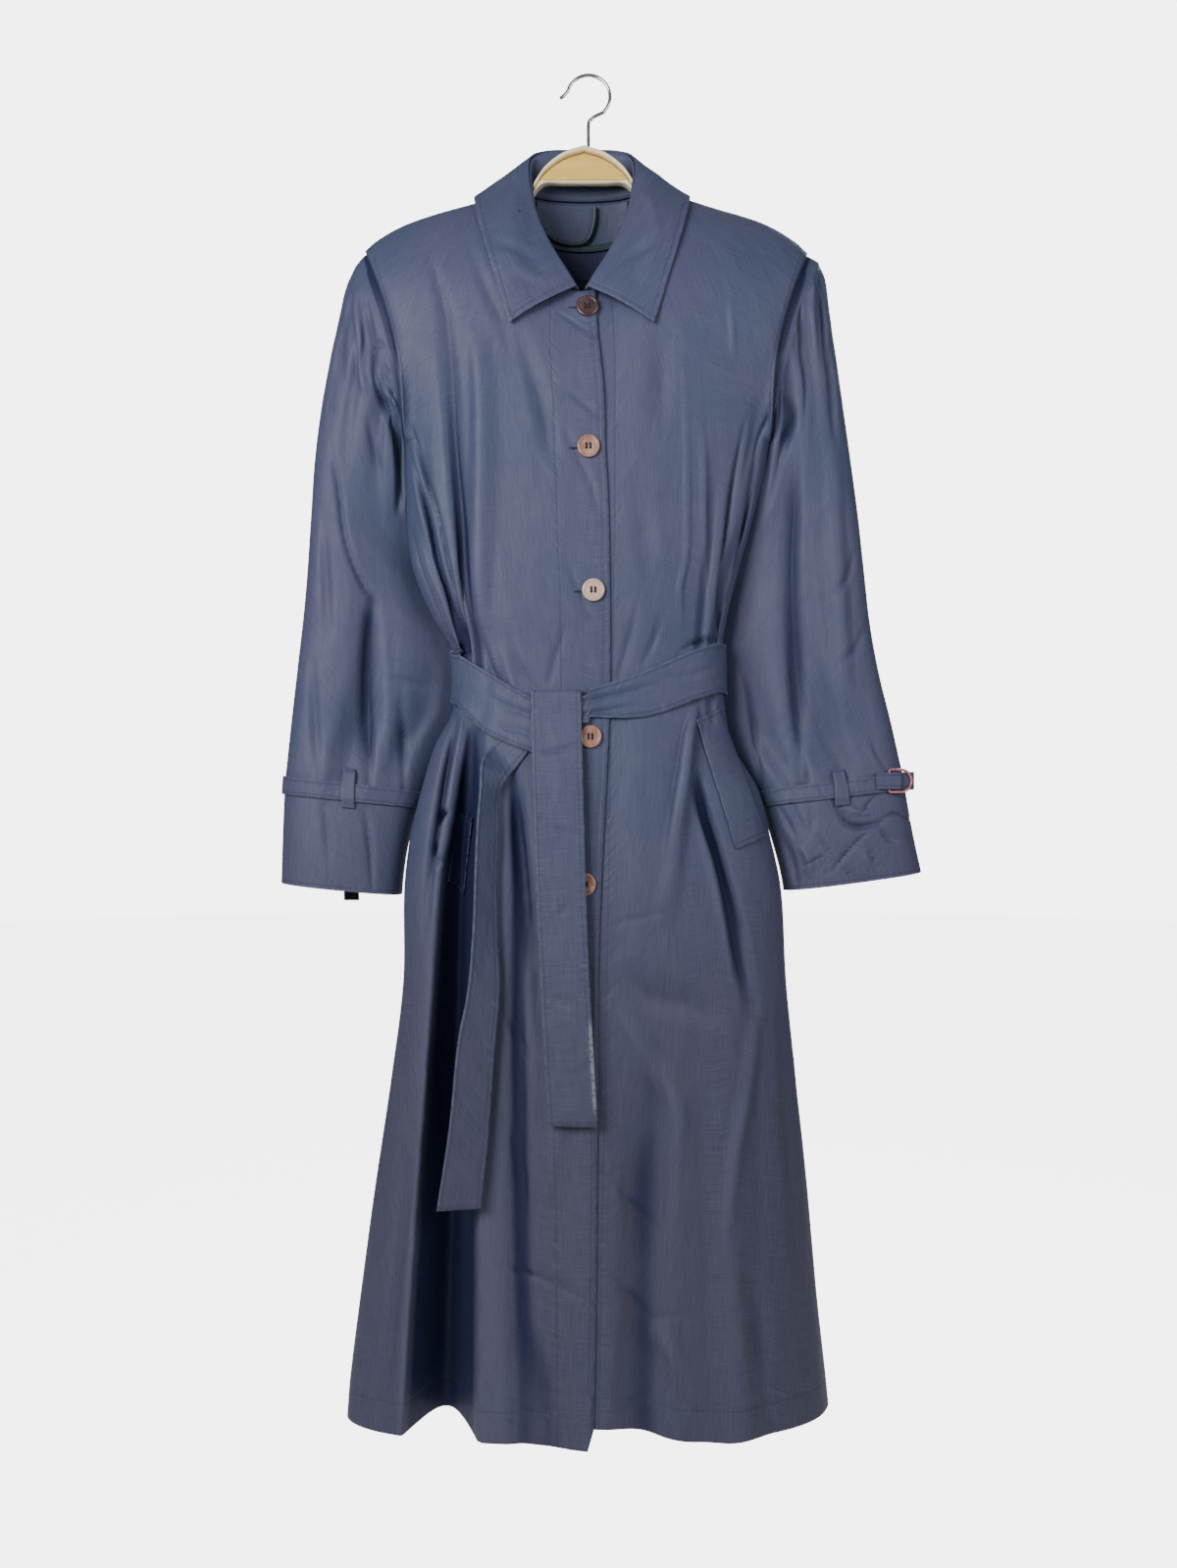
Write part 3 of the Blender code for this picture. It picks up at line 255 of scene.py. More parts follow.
coat = dict(
    underEdge=-22, lap=2.6, underarm=-346, hem=-1237, frontShort=18, neckCentre=-6, neckReach=56,
    neckTop=-104, neckDrop=113, neckForward=50, neckBack=26, tipRight=207, tipLeft=203, armholeCut=10,
    armholeFront=44, armholeBack=34, frontFullness=2.4, backFullness=2.1, armholeBend=1.3, neckBend=0.6,
    neckDip=4, riseBend=1.25, neckRound=1.6, sideHold=40, shortReach=0.45, pleatBend=0.55, lapFrom=18,
    lapFade=30, lapWidth=26, levelEase=0.6, yokeRows=84, skirtRows=292, columns=88, backColumns=100,
    neckColumns=32,
)
# How columns close up on the deep pleat, and how the dents below the back neckline's corners are evened out.
pleatColumns = dict(steps=400, more=2.2, at=0.47, half=0.22, start=1.2, over=0.3)
neckEase = dict(start=9, end=80, fade=60, half=34, rounds=220)
bodyRows = table("z right left sideRight sideLeft front back", [
    (-346, 168, 166, -14, -14, 62, 38),
    (-390, 167, 157, -15, -14, 63, 38),
    (-430, 165.5, 147, -15, -14, 64, 37),
    (-465, 160, 137, -15, -14, 64, 35),
    (-505, 143, 127, -15, -14, 63, 32),
    (-538, 124, 122.5, -15, -14, 61, 30),
    (-590, 124, 125, -15, -14, 61, 30),
    (-625, 141, 133, -15, -13, 64, 32),
    (-665, 153, 156, -15, -12, 67, 34),
    (-705, 163, 166.5, -15, -10, 69, 36),
    (-755, 169, 177, -15, -8, 72, 37),
    (-840, 170, 182, -15, -4, 75, 38),
    (-930, 181, 192, -15, 2, 78, 38),
    (-1025, 195, 202.5, -15, 8, 81, 38),
    (-1120, 208, 212, -15, 13, 83, 38),
    (-1200, 218, 220, -15, 16, 85, 38),
    (-1240, 221, 224, -15, 17, 86, 38),
])
shoulderRows = table("reach z", [
    (53, -104), (100, -118), (138, -129), (164, -138.5), (183, -148), (196, -157), (205, -166),
])
lapEdge = table("z x", [
    (-212, 7), (-262, 14.9), (-355, 14.8), (-400, 17.4), (-486, 19.2), (-573, 19.2),
    (-625, 17.4), (-747, 11.3), (-833, 8.6), (-969, 7.7), (-1087, 6.8), (-1237, 4.2),
])
# The main folds: height, place across, half width, depth (inward positive).
frontFolds = dict(
    pleatRight=[
        (-585, -102, 9, 0), (-650, -107, 15, 16), (-740, -115, 19, 34),
        (-900, -120, 24, 52), (-1100, -127, 31, 66), (-1240, -131, 35, 72),
    ],
    sideTuckRight=[(-590, -118, 6, 0), (-640, -127, 7, 6), (-712, -138, 7, 6), (-800, -146, 8, 0)],
    gatherRightOuter=[(-330, -150, 10, 0), (-450, -140, 9, 6), (-535, -113, 6, 7), (-620, -112, 6, 0)],
    gatherRightInner=[(-225, -133, 9, 0), (-400, -119, 8, 5), (-545, -99, 6, 6), (-620, -96, 6, 0)],
    betweenEnds=[(-640, -62, 10, 0), (-720, -62, 11, 6), (-1000, -60, 14, 7), (-1240, -56, 18, 3)],
    frontCrest=[(-700, 4, 40, 0), (-1000, 4, 46, -7), (-1240, 4, 52, -13)],
    gatherLeftOuter=[(-300, 155, 9, 0), (-404, 142, 9, 6), (-527, 114, 6, 7), (-620, 110, 6, 0)],
    gatherLeftInner=[(-340, 116, 9, 0), (-450, 108, 8, 4), (-535, 100, 6, 5), (-610, 98, 6, 0)],
    hipCrestLeft=[(-592, 98, 8, 0), (-620, 92, 9, -6), (-700, 80, 12, -6), (-790, 66, 14, 0)],
    hipTroughLeft=[(-640, 93, 8, 0), (-685, 104, 9, 9), (-785, 131, 11, 10), (-880, 150, 12, 0)],
    skirtTroughLeft=[(-860, 60, 24, 0), (-1000, 52, 28, 7), (-1240, 46, 32, 8)],
    skirtCrestLeft=[(-860, 120, 26, 0), (-1050, 126, 30, -7), (-1240, 130, 34, -9)],
)
backFolds = dict(
    gatherBackRight=[
        (-420, -70, 16, 0), (-545, -46, 10, 7), (-620, -50, 12, 7), (-900, -86, 26, 9), (-1240, -110, 36, 9),
    ],
    gatherBackLeft=[
        (-440, 60, 16, 0), (-545, 42, 10, 7), (-620, 48, 12, 7), (-900, 78, 26, 9), (-1240, 104, 36, 9),
    ],
    centreBack=[(-460, -4, 14, 0), (-560, -4, 10, 5), (-900, -4, 22, 7), (-1240, -4, 34, 8)],
)


def bodyAt(name, z):
    return curveThrough(bodyRows["z"], bodyRows[name], z)


def bySide(side, name, z):
    return np.where(side < 0, bodyAt(name + "Right", z), bodyAt(name + "Left", z))


def widthAt(side, z):
    return np.where(side < 0, bodyAt("right", z), bodyAt("left", z))


def foldDepth(folds, x, z):
    depth = np.zeros(np.shape(x))
    for name, stations in folds.items():
        height, across, half, deep = np.array(stations, float).T
        middle, width, fall = (curveThrough(height, values, z) for values in (across, half, deep))
        shape = hump((x - middle) / width)
        shape = shape ** coat["pleatBend"] if name == "pleatRight" else shape
        depth += np.where((z <= height[0]) & (z >= height[-1]), fall * shape, 0)
    return depth


def neckRise(x):
    return np.sqrt(np.maximum(0, 1 - ((x - coat["neckCentre"]) / coat["neckReach"]) ** 2))


def neckline(facing, rise):
    if facing < 0:
        return coat["neckTop"] - coat["neckDrop"] * rise, -coat["neckForward"] * rise ** coat["neckBend"]
    return coat["neckTop"] - coat["neckDip"] * rise, coat["neckBack"] * rise ** coat["neckBend"]


def topEdge(x, facing):  # neckline inside, shoulder seam outside
    rise = neckRise(x)
    z, y = neckline(facing, rise)
    shoulder = curveThrough(shoulderRows["reach"], shoulderRows["z"], np.abs(x - coat["neckCentre"] / 2))
    return np.where(rise > 0, z, shoulder), np.where(rise > 0, y, 0)


def armhole(side, facing, t):
    tip = np.where(side < 0, coat["tipRight"], coat["tipLeft"])
    tipZ = topEdge(side * tip, facing)[0]
    under = widthAt(side, coat["underarm"])
    underY = bySide(side, "side", coat["underarm"])
    x = blend(tip, under, t) - coat["armholeCut"] * np.sin(np.pi * t ** coat["armholeBend"])
    deep = coat["armholeFront"] if facing < 0 else coat["armholeBack"]
    y = facing * deep * 2 * np.sqrt(t * (1 - t)) + underY * smooth((t - 0.5) / 0.5)
    return x, y, blend(tipZ, coat["underarm"], t)


def bodyPoints(facing, across, level, folded=True):
    # Across runs from -1 at the right side line to 1 at the left one; level is 0 at the upper edge,
    # 1 at the underarm and 2 at the hem.
    across, level = np.broadcast_arrays(np.asarray(across, float), np.asarray(level, float))
    side = np.where(across < 0, -1.0, 1.0)
    share = np.sin(np.pi / 2 * across)
    full = coat["frontFullness"] if facing < 0 else coat["backFullness"]
    section = np.maximum(0, 1 - np.abs(share) ** full) ** (1 / full)
    outer = "front" if facing < 0 else "back"
    deep = coat["armholeFront"] if facing < 0 else coat["armholeBack"]

    t = np.clip(level, 0, 1)
    width, edgeY, _ = armhole(side, facing, t)
    xUpper = share * width
    topZ, topY = topEdge(xUpper, facing)
    zUpper = blend(topZ, coat["underarm"], t)
    rise = np.where(t < 0.5, (2 * np.sqrt(t * (1 - t))) ** coat["riseBend"], 1.0)
    line = blend(facing * deep, bySide(side, "side", coat["underarm"]), smooth((t - 0.55) / 0.45))
    rise = blend(rise, 1 - np.maximum(0, 1 - coat["neckRound"] * t) ** 2, neckRise(xUpper))
    yUpper = line + (facing * bodyAt(outer, coat["underarm"]) - line) * section
    yUpper = blend(topY, yUpper, rise) + (edgeY - line * rise) * np.abs(share) ** coat["sideHold"]

    underSide = (facing < 0) & (side > 0)
    short = coat["frontShort"] * (1 - smooth(np.abs(share) / coat["shortReach"])) * underSide
    zLower = blend(coat["underarm"], coat["hem"] + short, np.clip(level - 1, 0, 1))
    xLower = share * widthAt(side, zLower)
    sideLine = bySide(side, "side", zLower)
    yLower = sideLine + (facing * bodyAt(outer, zLower) - sideLine) * section

    upper = level <= 1
    x, y, z = (np.where(upper, a, b) for a, b in ((xUpper, xLower), (yUpper, yLower), (zUpper, zLower)))
    if folded:
        y = y - facing * foldDepth(frontFolds if facing < 0 else backFolds, x, z)
    return point(x, y, z)


def levels():
    share = np.arange(coat["yokeRows"]) / coat["yokeRows"]
    yoke = blend(share, (1 - np.cos(np.pi * share)) / 2, coat["levelEase"])
    return np.concatenate([yoke, 1 + np.linspace(0, 1, coat["skirtRows"])])


def edgeShare(level, x):  # the across value that lies at x on each level of the front
    z = bodyPoints(-1, 0.01, level)[..., 2]
    width = np.where(level <= 1, armhole(1, -1, np.minimum(level, 1))[0], widthAt(x, z))
    return 2 / np.pi * np.arcsin(np.clip(x / width, -1, 1))


def topShares(side, startX, count, neckColumns):
    # Even places along the neckline, then along the shoulder.
    tip = armhole(side, -1, 0.0)[0]
    centre, reach = coat["neckCentre"], coat["neckReach"]
    start = math.acos(side * (startX - centre) / reach)
    neck = centre + side * reach * np.cos(blend(start, 0, np.arange(neckColumns + 1) / neckColumns))
    outward = np.arange(1, count - neckColumns) / (count - 1 - neckColumns)
    x = np.concatenate([neck, blend(centre + side * reach, side * tip, outward)])
    width = np.where(side * x > 0, tip, armhole(-side, -1, 0.0)[0])
    return 2 / np.pi * np.arcsin(np.clip(x / width, -1, 1))


def shares(top, start, end, level):
    # As along the upper edge on top, even from the underarm down, but closer on the deep pleat.
    even = blend(np.reshape(start, (-1, 1)), end, np.linspace(0, 1, len(top)))
    if end == -1:
        dense = np.linspace(0, 1, pleatColumns["steps"])
        pace = 1 / (1 + pleatColumns["more"] * hump((dense - pleatColumns["at"]) / pleatColumns["half"]))
        spread = np.interp(np.linspace(0, 1, len(top)), np.cumsum(1 / pace) / np.sum(1 / pace), dense)
        spread = (spread - spread[0]) / (spread[-1] - spread[0])
        close = blend(np.reshape(start, (-1, 1)), end, spread)
        even = blend(even, close, smooth((level[:, None] - pleatColumns["start"]) / pleatColumns["over"]))
    return blend(top[None], even, smooth(level[:, None]))


def seamIn(grid, level, first=False, last=False):  # keeps sewn edges apart by the seam's gap
    grid = grid.copy()
    low = level > 0.99
    if first:
        grid[low, 0] += unit(grid[low, 1] - grid[low, 0]) * cloth["seam"]
    if last:
        grid[low, -1] += unit(grid[low, -2] - grid[low, -1]) * cloth["seam"]
    grid[0] += unit(grid[1] - grid[0]) * cloth["seam"]
    return grid


def easedNeck(grid):  # evens out the dents below the corners of the back neckline
    below = lengths(grid, 0)
    weight = smooth(below / neckEase["start"]) * (1 - smooth((below - neckEase["end"]) / neckEase["fade"]))
    across = np.abs(grid[..., 0] - coat["neckCentre"])
    weight = weight * hump((across - coat["neckReach"]) / neckEase["half"])
    depth = grid[..., 1].copy()
    for _ in range(neckEase["rounds"]):
        depth[:, 1:-1] = 0.5 * depth[:, 1:-1] + 0.25 * (depth[:, :-2] + depth[:, 2:])
    return point(grid[..., 0], blend(grid[..., 1], depth, weight), grid[..., 2])


def bodyGrids():
    level = levels()
    z = bodyPoints(-1, 0.01, level)[..., 2]
    over = edgeShare(level, curveThrough(lapEdge["z"], lapEdge["x"], z))
    under = edgeShare(level, coat["underEdge"])
    count, neck = coat["columns"], coat["neckColumns"]
    overTop = topShares(-1, lapEdge["x"][0], count, neck)
    underTop = topShares(1, coat["underEdge"], count, neck)
    right = bodyPoints(-1, shares(overTop, over, -1, level), level[:, None])
    left = bodyPoints(-1, shares(underTop, under, 1, level), level[:, None])
    left[..., 1] += coat["lap"] * (1 - smooth((left[..., 0] - coat["lapFrom"]) / coat["lapFade"]))
    half = coat["backColumns"] // 2
    backTop = [topShares(s, coat["neckCentre"], half + 1, neck * 2 // 3) for s in (1, -1)]
    backTop = np.concatenate([backTop[1][::-1], backTop[0][1:]])
    even = np.linspace(-1, 1, len(backTop))
    back = bodyPoints(1, blend(backTop[None], even, smooth(level[:, None])), level[:, None])
    back = easedNeck(back)
    return seamIn(right, level, last=True), seamIn(left, level, last=True), seamIn(back, level, True, True)


rightGrid, leftGrid, backGrid = bodyGrids()
rightPanel, leftPanel, backPanel = Panel(rightGrid, -1), Panel(leftGrid, -1), Panel(backGrid, 1)
print("body panels laid out", rightGrid.shape, leftGrid.shape, backGrid.shape)


sleeve = dict(
    inset=3.2, root=0.3, collar=2.5, clear=1.9, cuffClear=5.4, behind=12, lean=18, taper=21, sides=164,
    headRows=12, rows=140, cuffRows=74, tuckIn=-7, tuckUnder=1.6, tuckRows=4, clearFrom=8, clearOver=3,
    cuffAt=12, endAt=14, early=0.4, slight=0.05, axis=(0.977, -0.213),
)
# Down a sleeve's sections: its depth in front and behind, how square it is and how far its sides bow out,
# alike on both, then for each side its outer and inner line and how far it is tucked behind the body.
sleeveForm = table("front back round bow", [
    (-42, 34, 2.0, 9), (-42, 34, 2.0, 7), (-41, 34, 2.1, 5), (-40, 34, 2.2, 3), (-39, 34, 2.2, 2),
    (-38, 34, 2.3, 0), (-38, 34, 2.3, 0), (-37, 35, 2.3, 0), (-36, 35, 2.3, 0), (-36, 35, 2.3, 0),
    (-35, 35, 2.3, 0), (-35, 35, 2.3, 0), (-34, 35, 2.3, 0), (-33, 35, 2.4, 0), (-32, 35, 2.4, 0),
])
sleeveSides = {
    -1: table("xOut zOut zIn tuck", [
        (-216, -180, -351, 0.15), (-224, -198, -362, 0.3), (-231, -226, -380, 0.38),
        (-239.5, -268, -405, 0.48), (-247.5, -312, -434, 0.72), (-253.5, -362, -466, 1.0),
        (-257, -412, -498, 1.0), (-260.5, -460, -528, 1.0), (-265, -506, -552, 1.0),
        (-270.5, -552, -578, 1.0), (-276, -600, -616, 0.9), (-280, -640, -655, 0.5),
        (-282, -662, -676, 0.3), (-284, -712, -718, 0.1), (-285.5, -751, -762, 0.0),
    ]),
    1: table("xOut zOut zIn tuck", [
        (213, -176, -351, 0.15), (219.5, -193, -362, 0.3), (223.5, -222, -380, 0.36),
        (230, -268, -405, 0.42), (237, -316, -434, 0.55), (244, -366, -466, 0.8), (250.5, -416, -498, 1.0),
        (256, -464, -528, 1.0), (261, -508, -552, 1.0), (269, -552, -578, 1.0), (281, -600, -618, 0.9),
        (290, -640, -657, 0.5), (293.5, -660, -676, 0.3), (301, -704, -718, 0.1), (309, -741, -758, 0.0),
    ]),
}
# Pleats and long folds of a sleeve: degrees round from the outer side by the front, half width in degrees,
# depth, and the sections where it starts, is deepest and ends.
sleeveFolds = [
    (38, 12, 4.5, 0.2, 1.6, 4.5),
    (66, 12, 5.0, 0.2, 1.6, 5.5),
    (96, 13, 5.5, 0.2, 1.8, 6.0),
    (128, 12, 4.0, 0.2, 1.8, 5.0),
    (-45, 13, 4.0, 0.2, 1.6, 4.5),
    (-80, 13, 4.5, 0.2, 1.6, 5.0),
    (-115, 13, 4.0, 0.2, 1.6, 4.5),
    (84, 17, 8.0, 5.0, 10.0, 13.0),
    (118, 16, 5.0, 7.0, 10.0, 12.5),
    (-95, 18, 6.0, 4.0, 9.0, 13.0),
]
# Finer gathers of the sleeve's head and the small folds behind, in the same form.
sleeveGathers = [
    (12, 5, 1.4, 0.1, 0.9, 2.6), (25, 5, 1.2, 0.1, 0.7, 2.0), (51, 5, 1.5, 0.1, 0.9, 2.8),
    (80, 5, 1.4, 0.1, 0.8, 2.2), (111, 6, 1.6, 0.1, 1.0, 3.0), (-8, 6, 2.0, 0.1, 0.8, 2.2),
    (-26, 6, 2.3, 0.1, 0.9, 2.9), (-62, 6, 2.2, 0.1, 0.8, 2.4), (-97, 6, 2.4, 0.1, 1.0, 2.9),
    (-134, 8, 2.4, 0.2, 1.2, 3.4), (-58, 9, 2.8, 5.0, 8.2, 11.0), (-122, 10, 3.0, 6.5, 9.4, 12.4),
    (-80, 8, 2.0, 11.9, 13.2, 14.5), (-112, 7, 1.6, 12.2, 13.6, 14.6), (-40, 8, 1.6, 9.0, 11.0, 13.0),
]


def foldsRound(folds, angle, row):
    depth = np.zeros(np.shape(angle + row))
    for middle, half, deep, start, peak, end in folds:
        away = (np.degrees(angle) - middle + 180) % 360 - 180
        opening, closing = smooth((row - start) / (peak - start)), 1 - smooth((row - peak) / (end - peak))
        depth = depth + deep * opening * closing * hump(away / half)
    return depth


def sleevePoints(side, row, angle, lift=0.0):
    rows = {**sleeveForm, **sleeveSides[side]}
    places = np.arange(len(rows["xOut"]))
    value = {name: curveThrough(places, rows[name], row) for name in rows}
    turnX = power(np.cos(angle), 2 / value["round"])
    turnY = power(np.sin(angle), 2 / value["round"])
    inner = (1 - turnX) / 2
    halfY = (value["back"] - value["front"]) / 2 - foldsRound(sleeveFolds, angle, row)
    halfY = halfY - sleeve["taper"] * value["tuck"] * inner
    midY = (value["front"] + value["back"]) / 2 + sleeve["lean"] * value["tuck"] * inner
    lower = smooth((row - sleeve["clearFrom"]) / sleeve["clearOver"])
    clear = blend(sleeve["clear"], sleeve["cuffClear"], lower)
    body = bodyAt("right" if side < 0 else "left", value["zIn"])
    xIn = side * (body + clear - sleeve["behind"] * value["tuck"])
    x = blend(value["xOut"], xIn, inner) - side * value["bow"] * turnY**2
    points = point(x, midY - halfY * turnY, blend(value["zOut"], value["zIn"], inner))
    if np.any(lift):
        points = points + sleeveOutward(side, row, angle) * np.asarray(lift)[..., None]
    return points


def sleeveOutward(side, row, angle):
    slight = sleeve["slight"]
    around = sleevePoints(side, row, angle + slight) - sleevePoints(side, row, angle - slight)
    down = sleevePoints(side, row + slight, angle) - sleevePoints(side, row - slight, angle)
    return unit(np.cross(around, down)) * side


def armholeRing(side, angle, outward, inset=sleeve["inset"]):
    # The sleeve where it passes through the armhole, a little inside the armhole's edge.
    t = (1 - np.cos(angle)) / 2
    front, back = (point(side * x, y, z) for x, y, z in (armhole(side, -1, t), armhole(side, 1, t)))
    ring = np.where((np.sin(angle) > 0)[..., None], front, back)
    tip, under = armhole(side, -1, 0.0), armhole(side, -1, 1.0)
    middle = np.array([side * (tip[0] + under[0]), 0, tip[2] + under[2]]) / 2
    axis = np.array([side * sleeve["axis"][0], 0, sleeve["axis"][1]])
    return ring + unit(middle - ring) * inset + axis * np.asarray(outward)[..., None]


def tuckedRing(side, angle):  # the sleeve's seam allowance, against the inside of the body
    ring = armholeRing(side, angle, sleeve["tuckIn"], 0)
    front = rightPanel if side < 0 else leftPanel
    spots = []
    for spot, turn in zip(ring, np.sin(angle)):
        panel = front if turn > 0 else backPanel
        place, normal, _, _ = panel.tree.find_nearest(Vector(spot))
        normal = normal if normal.y * panel.facing > 0 else -normal
        spots.append(place - normal * sleeve["tuckUnder"])
    spots = np.array(spots)
    return (np.roll(spots, 1, axis=0) + 2 * spots + np.roll(spots, -1, axis=0)) / 4


def sleeveGrid(side):
    angle = circle(sleeve["sides"])
    head = np.linspace(0, 1, sleeve["headRows"], endpoint=False)
    start, end = armholeRing(side, angle, sleeve["root"]), sleevePoints(side, 0.0, angle)
    knee = armholeRing(side, angle, sleeve["collar"])
    tucked = tuckedRing(side, angle)
    inner = [blend(tucked, start, t)[None] for t in np.linspace(0, 1, sleeve["tuckRows"], endpoint=False)]
    rows = inner + [blend(blend(start, knee, t), blend(knee, end, t), t)[None] for t in head]
    row = np.linspace(0, sleeve["cuffAt"], sleeve["rows"], endpoint=False)
    row = np.concatenate([row, np.linspace(sleeve["cuffAt"], sleeve["endAt"], sleeve["cuffRows"])])
    body = sleevePoints(side, row[:, None], angle[None])
    early = sleeve["early"]
    early = np.concatenate([np.full(sleeve["tuckRows"], -early), head * early - early])
    place = np.concatenate([early, row])[:, None]
    return np.concatenate(rows + [body]), place + 0 * angle[None], angle[None] + 0 * place


collar = dict(
    sections=220, fallRows=34, standRows=10, bulge=4.0, standInside=2.4, backLean=-0.6, footRoom=0.5,
    headDrop=1.5, rollCentre=10, free=0.1, lean=0.8, aim=-130, aimBelow=25, room=0.3, moreRoom=0.2,
    rollColumns=3, pressRounds=6, restRounds=40,
)
collarRows = table("neck rollX rollY rollZ edgeX edgeY edgeZ", [
    (87, 4.5, -57, -214, 64, -66, -250),
    (76, 12.0, -55, -201, 70, -64, -232),
    (63, 22.0, -50, -184, 77, -60, -208),
    (50, 32.0, -43, -164, 85, -54, -181),
    (36, 40.0, -34, -144, 92, -42, -155),
    (20, 46.0, -20, -118, 97, -24, -132),
    (0, 49.5, -2, -86, 99, -2, -114),
    (-22, 46.5, 10, -69, 93, 24, -112),
    (-50, 32.0, 18, -61, 68, 38, -112),
    (-72, 15.0, 23, -58, 32, 43, -111),
    (-90, 0.0, 24, -57.5, 0, 44, -111),
])


def roundTheNeck(half):  # a line on the right of the neck, carried on to the left
    return np.concatenate([half, (half * [-1, 1, 1] + [2 * coat["neckCentre"], 0, 0])[-2::-1]])


def collarLines():
    turn = np.radians(collarRows["neck"])
    rise = np.abs(np.sin(turn))
    front, back = neckline(-1, rise), neckline(1, rise)
    z, y = np.where(turn > 0, front[0], back[0]), np.where(turn > 0, front[1], back[1])
    neck = point(coat["neckCentre"] - coat["neckReach"] * np.cos(turn), y, z)
    lines = [neck]
    for name in ("roll", "edge"):
        x = coat["neckCentre"] - collarRows[name + "X"]
        lines.append(point(x, collarRows[name + "Y"], collarRows[name + "Z"]))
    return [through(roundTheNeck(line), collar["sections"]) for line in lines]


def pressed(spot, target, panels, clearance):
    way = (target - spot).normalized()
    for panel in panels:
        hit, normal, _, _ = panel.tree.ray_cast(spot - way * probe["pull"], way)
        if hit is not None:
            normal = -normal if normal.dot(way) > 0 else normal
            spot = spot + normal * max(0.0, clearance - (spot - hit).dot(normal))
    return spot


def collarGrids(panels):
    neck, roll, edge = collarLines()
    centre = coat["neckCentre"]
    atBack = neck[:, 1] > 0
    rise = np.where(atBack, neck[:, 1] / coat["neckBack"],
                    np.minimum(1, np.abs(neck[:, 2] - coat["neckTop"]) / coat["neckDrop"]))
    lean = np.where(atBack, collar["backLean"] * rise, 0)
    away = unit(point((centre - neck[:, 0]) / coat["neckReach"], lean, rise))
    foot = neck + away * (cloth["gap"] + cloth["band"] / 2 + collar["footRoom"])
    inward = unit(point(centre - roll[:, 0], collar["rollCentre"] - roll[:, 1], 0 * roll[:, 2]))
    head = roll + inward * collar["standInside"] + unit(neck - roll) * collar["headDrop"]
    t = np.linspace(0, 1, collar["standRows"])[None, :, None]
    stand = blend(foot[:, None], head[:, None], t)
    t = np.linspace(0, 1, collar["fallRows"])[None, :, None]
    outward = unit(point(edge[:, 0] - centre, edge[:, 1], 0 * edge[:, 2]))
    fall = blend(roll[:, None], edge[:, None], t) + outward[:, None] * collar["bulge"] * np.sin(np.pi * t)
    clearance = restOnCoat + collar["room"]
    free = fall.copy()
    for i, j in np.ndindex(fall.shape[:2]):
        if t[0, j, 0] > collar["free"]:
            x, _, z = fall[i, j]
            low = min(z, collar["aim"]) - collar["aimBelow"]
            target = Vector((blend(centre, x, collar["lean"]), 0, low))
            fall[i, j] = pressed(Vector(fall[i, j]), target, panels, clearance)
    fall = free + soften(fall - free, collar["pressRounds"])
    fall = settle(fall, panels, clearance + collar["moreRoom"], fixed=collar["rollColumns"])
    return stand, free + soften(fall - free, collar["restRounds"])


belt = dict(
    width=45, back=-556, steps=240, clear=0.5, clearRound=1.8, start=60, over=40, knotCentre=-40,
    knotHalf=38, knotRoom=3.1, knotFade=14, columns=20, rightSteps=66, leftSteps=90, hold=4, slight=0.01,
    core=-8,
)
tie = dict(  # how the over end turns over the belt's top edge, and the under end comes out below it
    layer=0.8, top=7, down=(27, 15, 3), more=0.3, drop=3.5, dropFrom=-600, dropOver=60,
    heights=(-600, -625, -650, -690, -730, -780, -831, -890, -957), steps=190, below=-560, reach=8,
    rounds=40, underSteps=180, underRoom=0.2, underReach=4, underFree=1.3,
)
beltRight = [(-29, -614, 20), (-51, -606.5, 23), (-87, -586, 25), (-114, -565, 23)]
beltLeft = [
    (114, -554, 22.5), (95, -561, 22.5), (56, -577, 21), (19, -588.5, 16), (-9, -594, 11.5), (-26, -598, 11),
]
overEnd = table("z right left", [
    (-584, -51, -6.5), (-650, -49.5, -5), (-703, -47.5, -3.5), (-770, -45, -1.5), (-831, -42, 1),
    (-957, -35, 8),
])
underEnd = [  # its middle and half of its width as a vector
    (-56, -65.0, -618, -3, 0, 12),
    (-70, -65.5, -630, -8, -1, 12),
    (-82, -74, -645, -11, -5, 8),
    (-87, -79, -668, -8, -8, 2),
    (-88.5, -82, -703, -9, -8, 0),
    (-90, -84, -746, -9, -8, 0),
    (-90.5, -86, -797, -10.5, -8, 0),
    (-91.5, -88, -840, -13.5, -7, 0),
    (-97.5, -90, -885, -16, -6, 0),
    (-104, -92, -959, -17, -5, 0),
    (-112.5, -94, -1029, -19, -4, 0),
]


def waistTurn(x, z):
    return 2 / np.pi * np.arcsin(np.clip(x / widthAt(np.sign(x), z), -1, 1))


def waistPoints(turn, z, lift):
    # Turn is 0 in front, -1 at the right side line, 1 at the left one, and on to -2 or 2 behind.
    def spot(t):
        level = 1 + (coat["underarm"] - z) / (coat["underarm"] - coat["hem"])
        front = bodyPoints(-1, np.clip(t, -1, 1), level, folded=False)
        back = bodyPoints(1, np.sign(t) * (2 - np.abs(t)), level, folded=False)
        return np.where((np.abs(t) < 1)[..., None], front, back)
    along = spot(turn + belt["slight"]) - spot(turn - belt["slight"])
    out = unit(point(along[..., 1], -along[..., 0], 0))
    return spot(turn) + out * lift[..., None]


def beltLift(x):
    clear = blend(belt["clear"], belt["clearRound"], smooth((np.abs(x) - belt["start"]) / belt["over"]))
    knot = 1 - smooth((np.abs(x - belt["knotCentre"]) - belt["knotHalf"]) / belt["knotFade"])
    return restOnCoat + clear + belt["knotRoom"] * knot


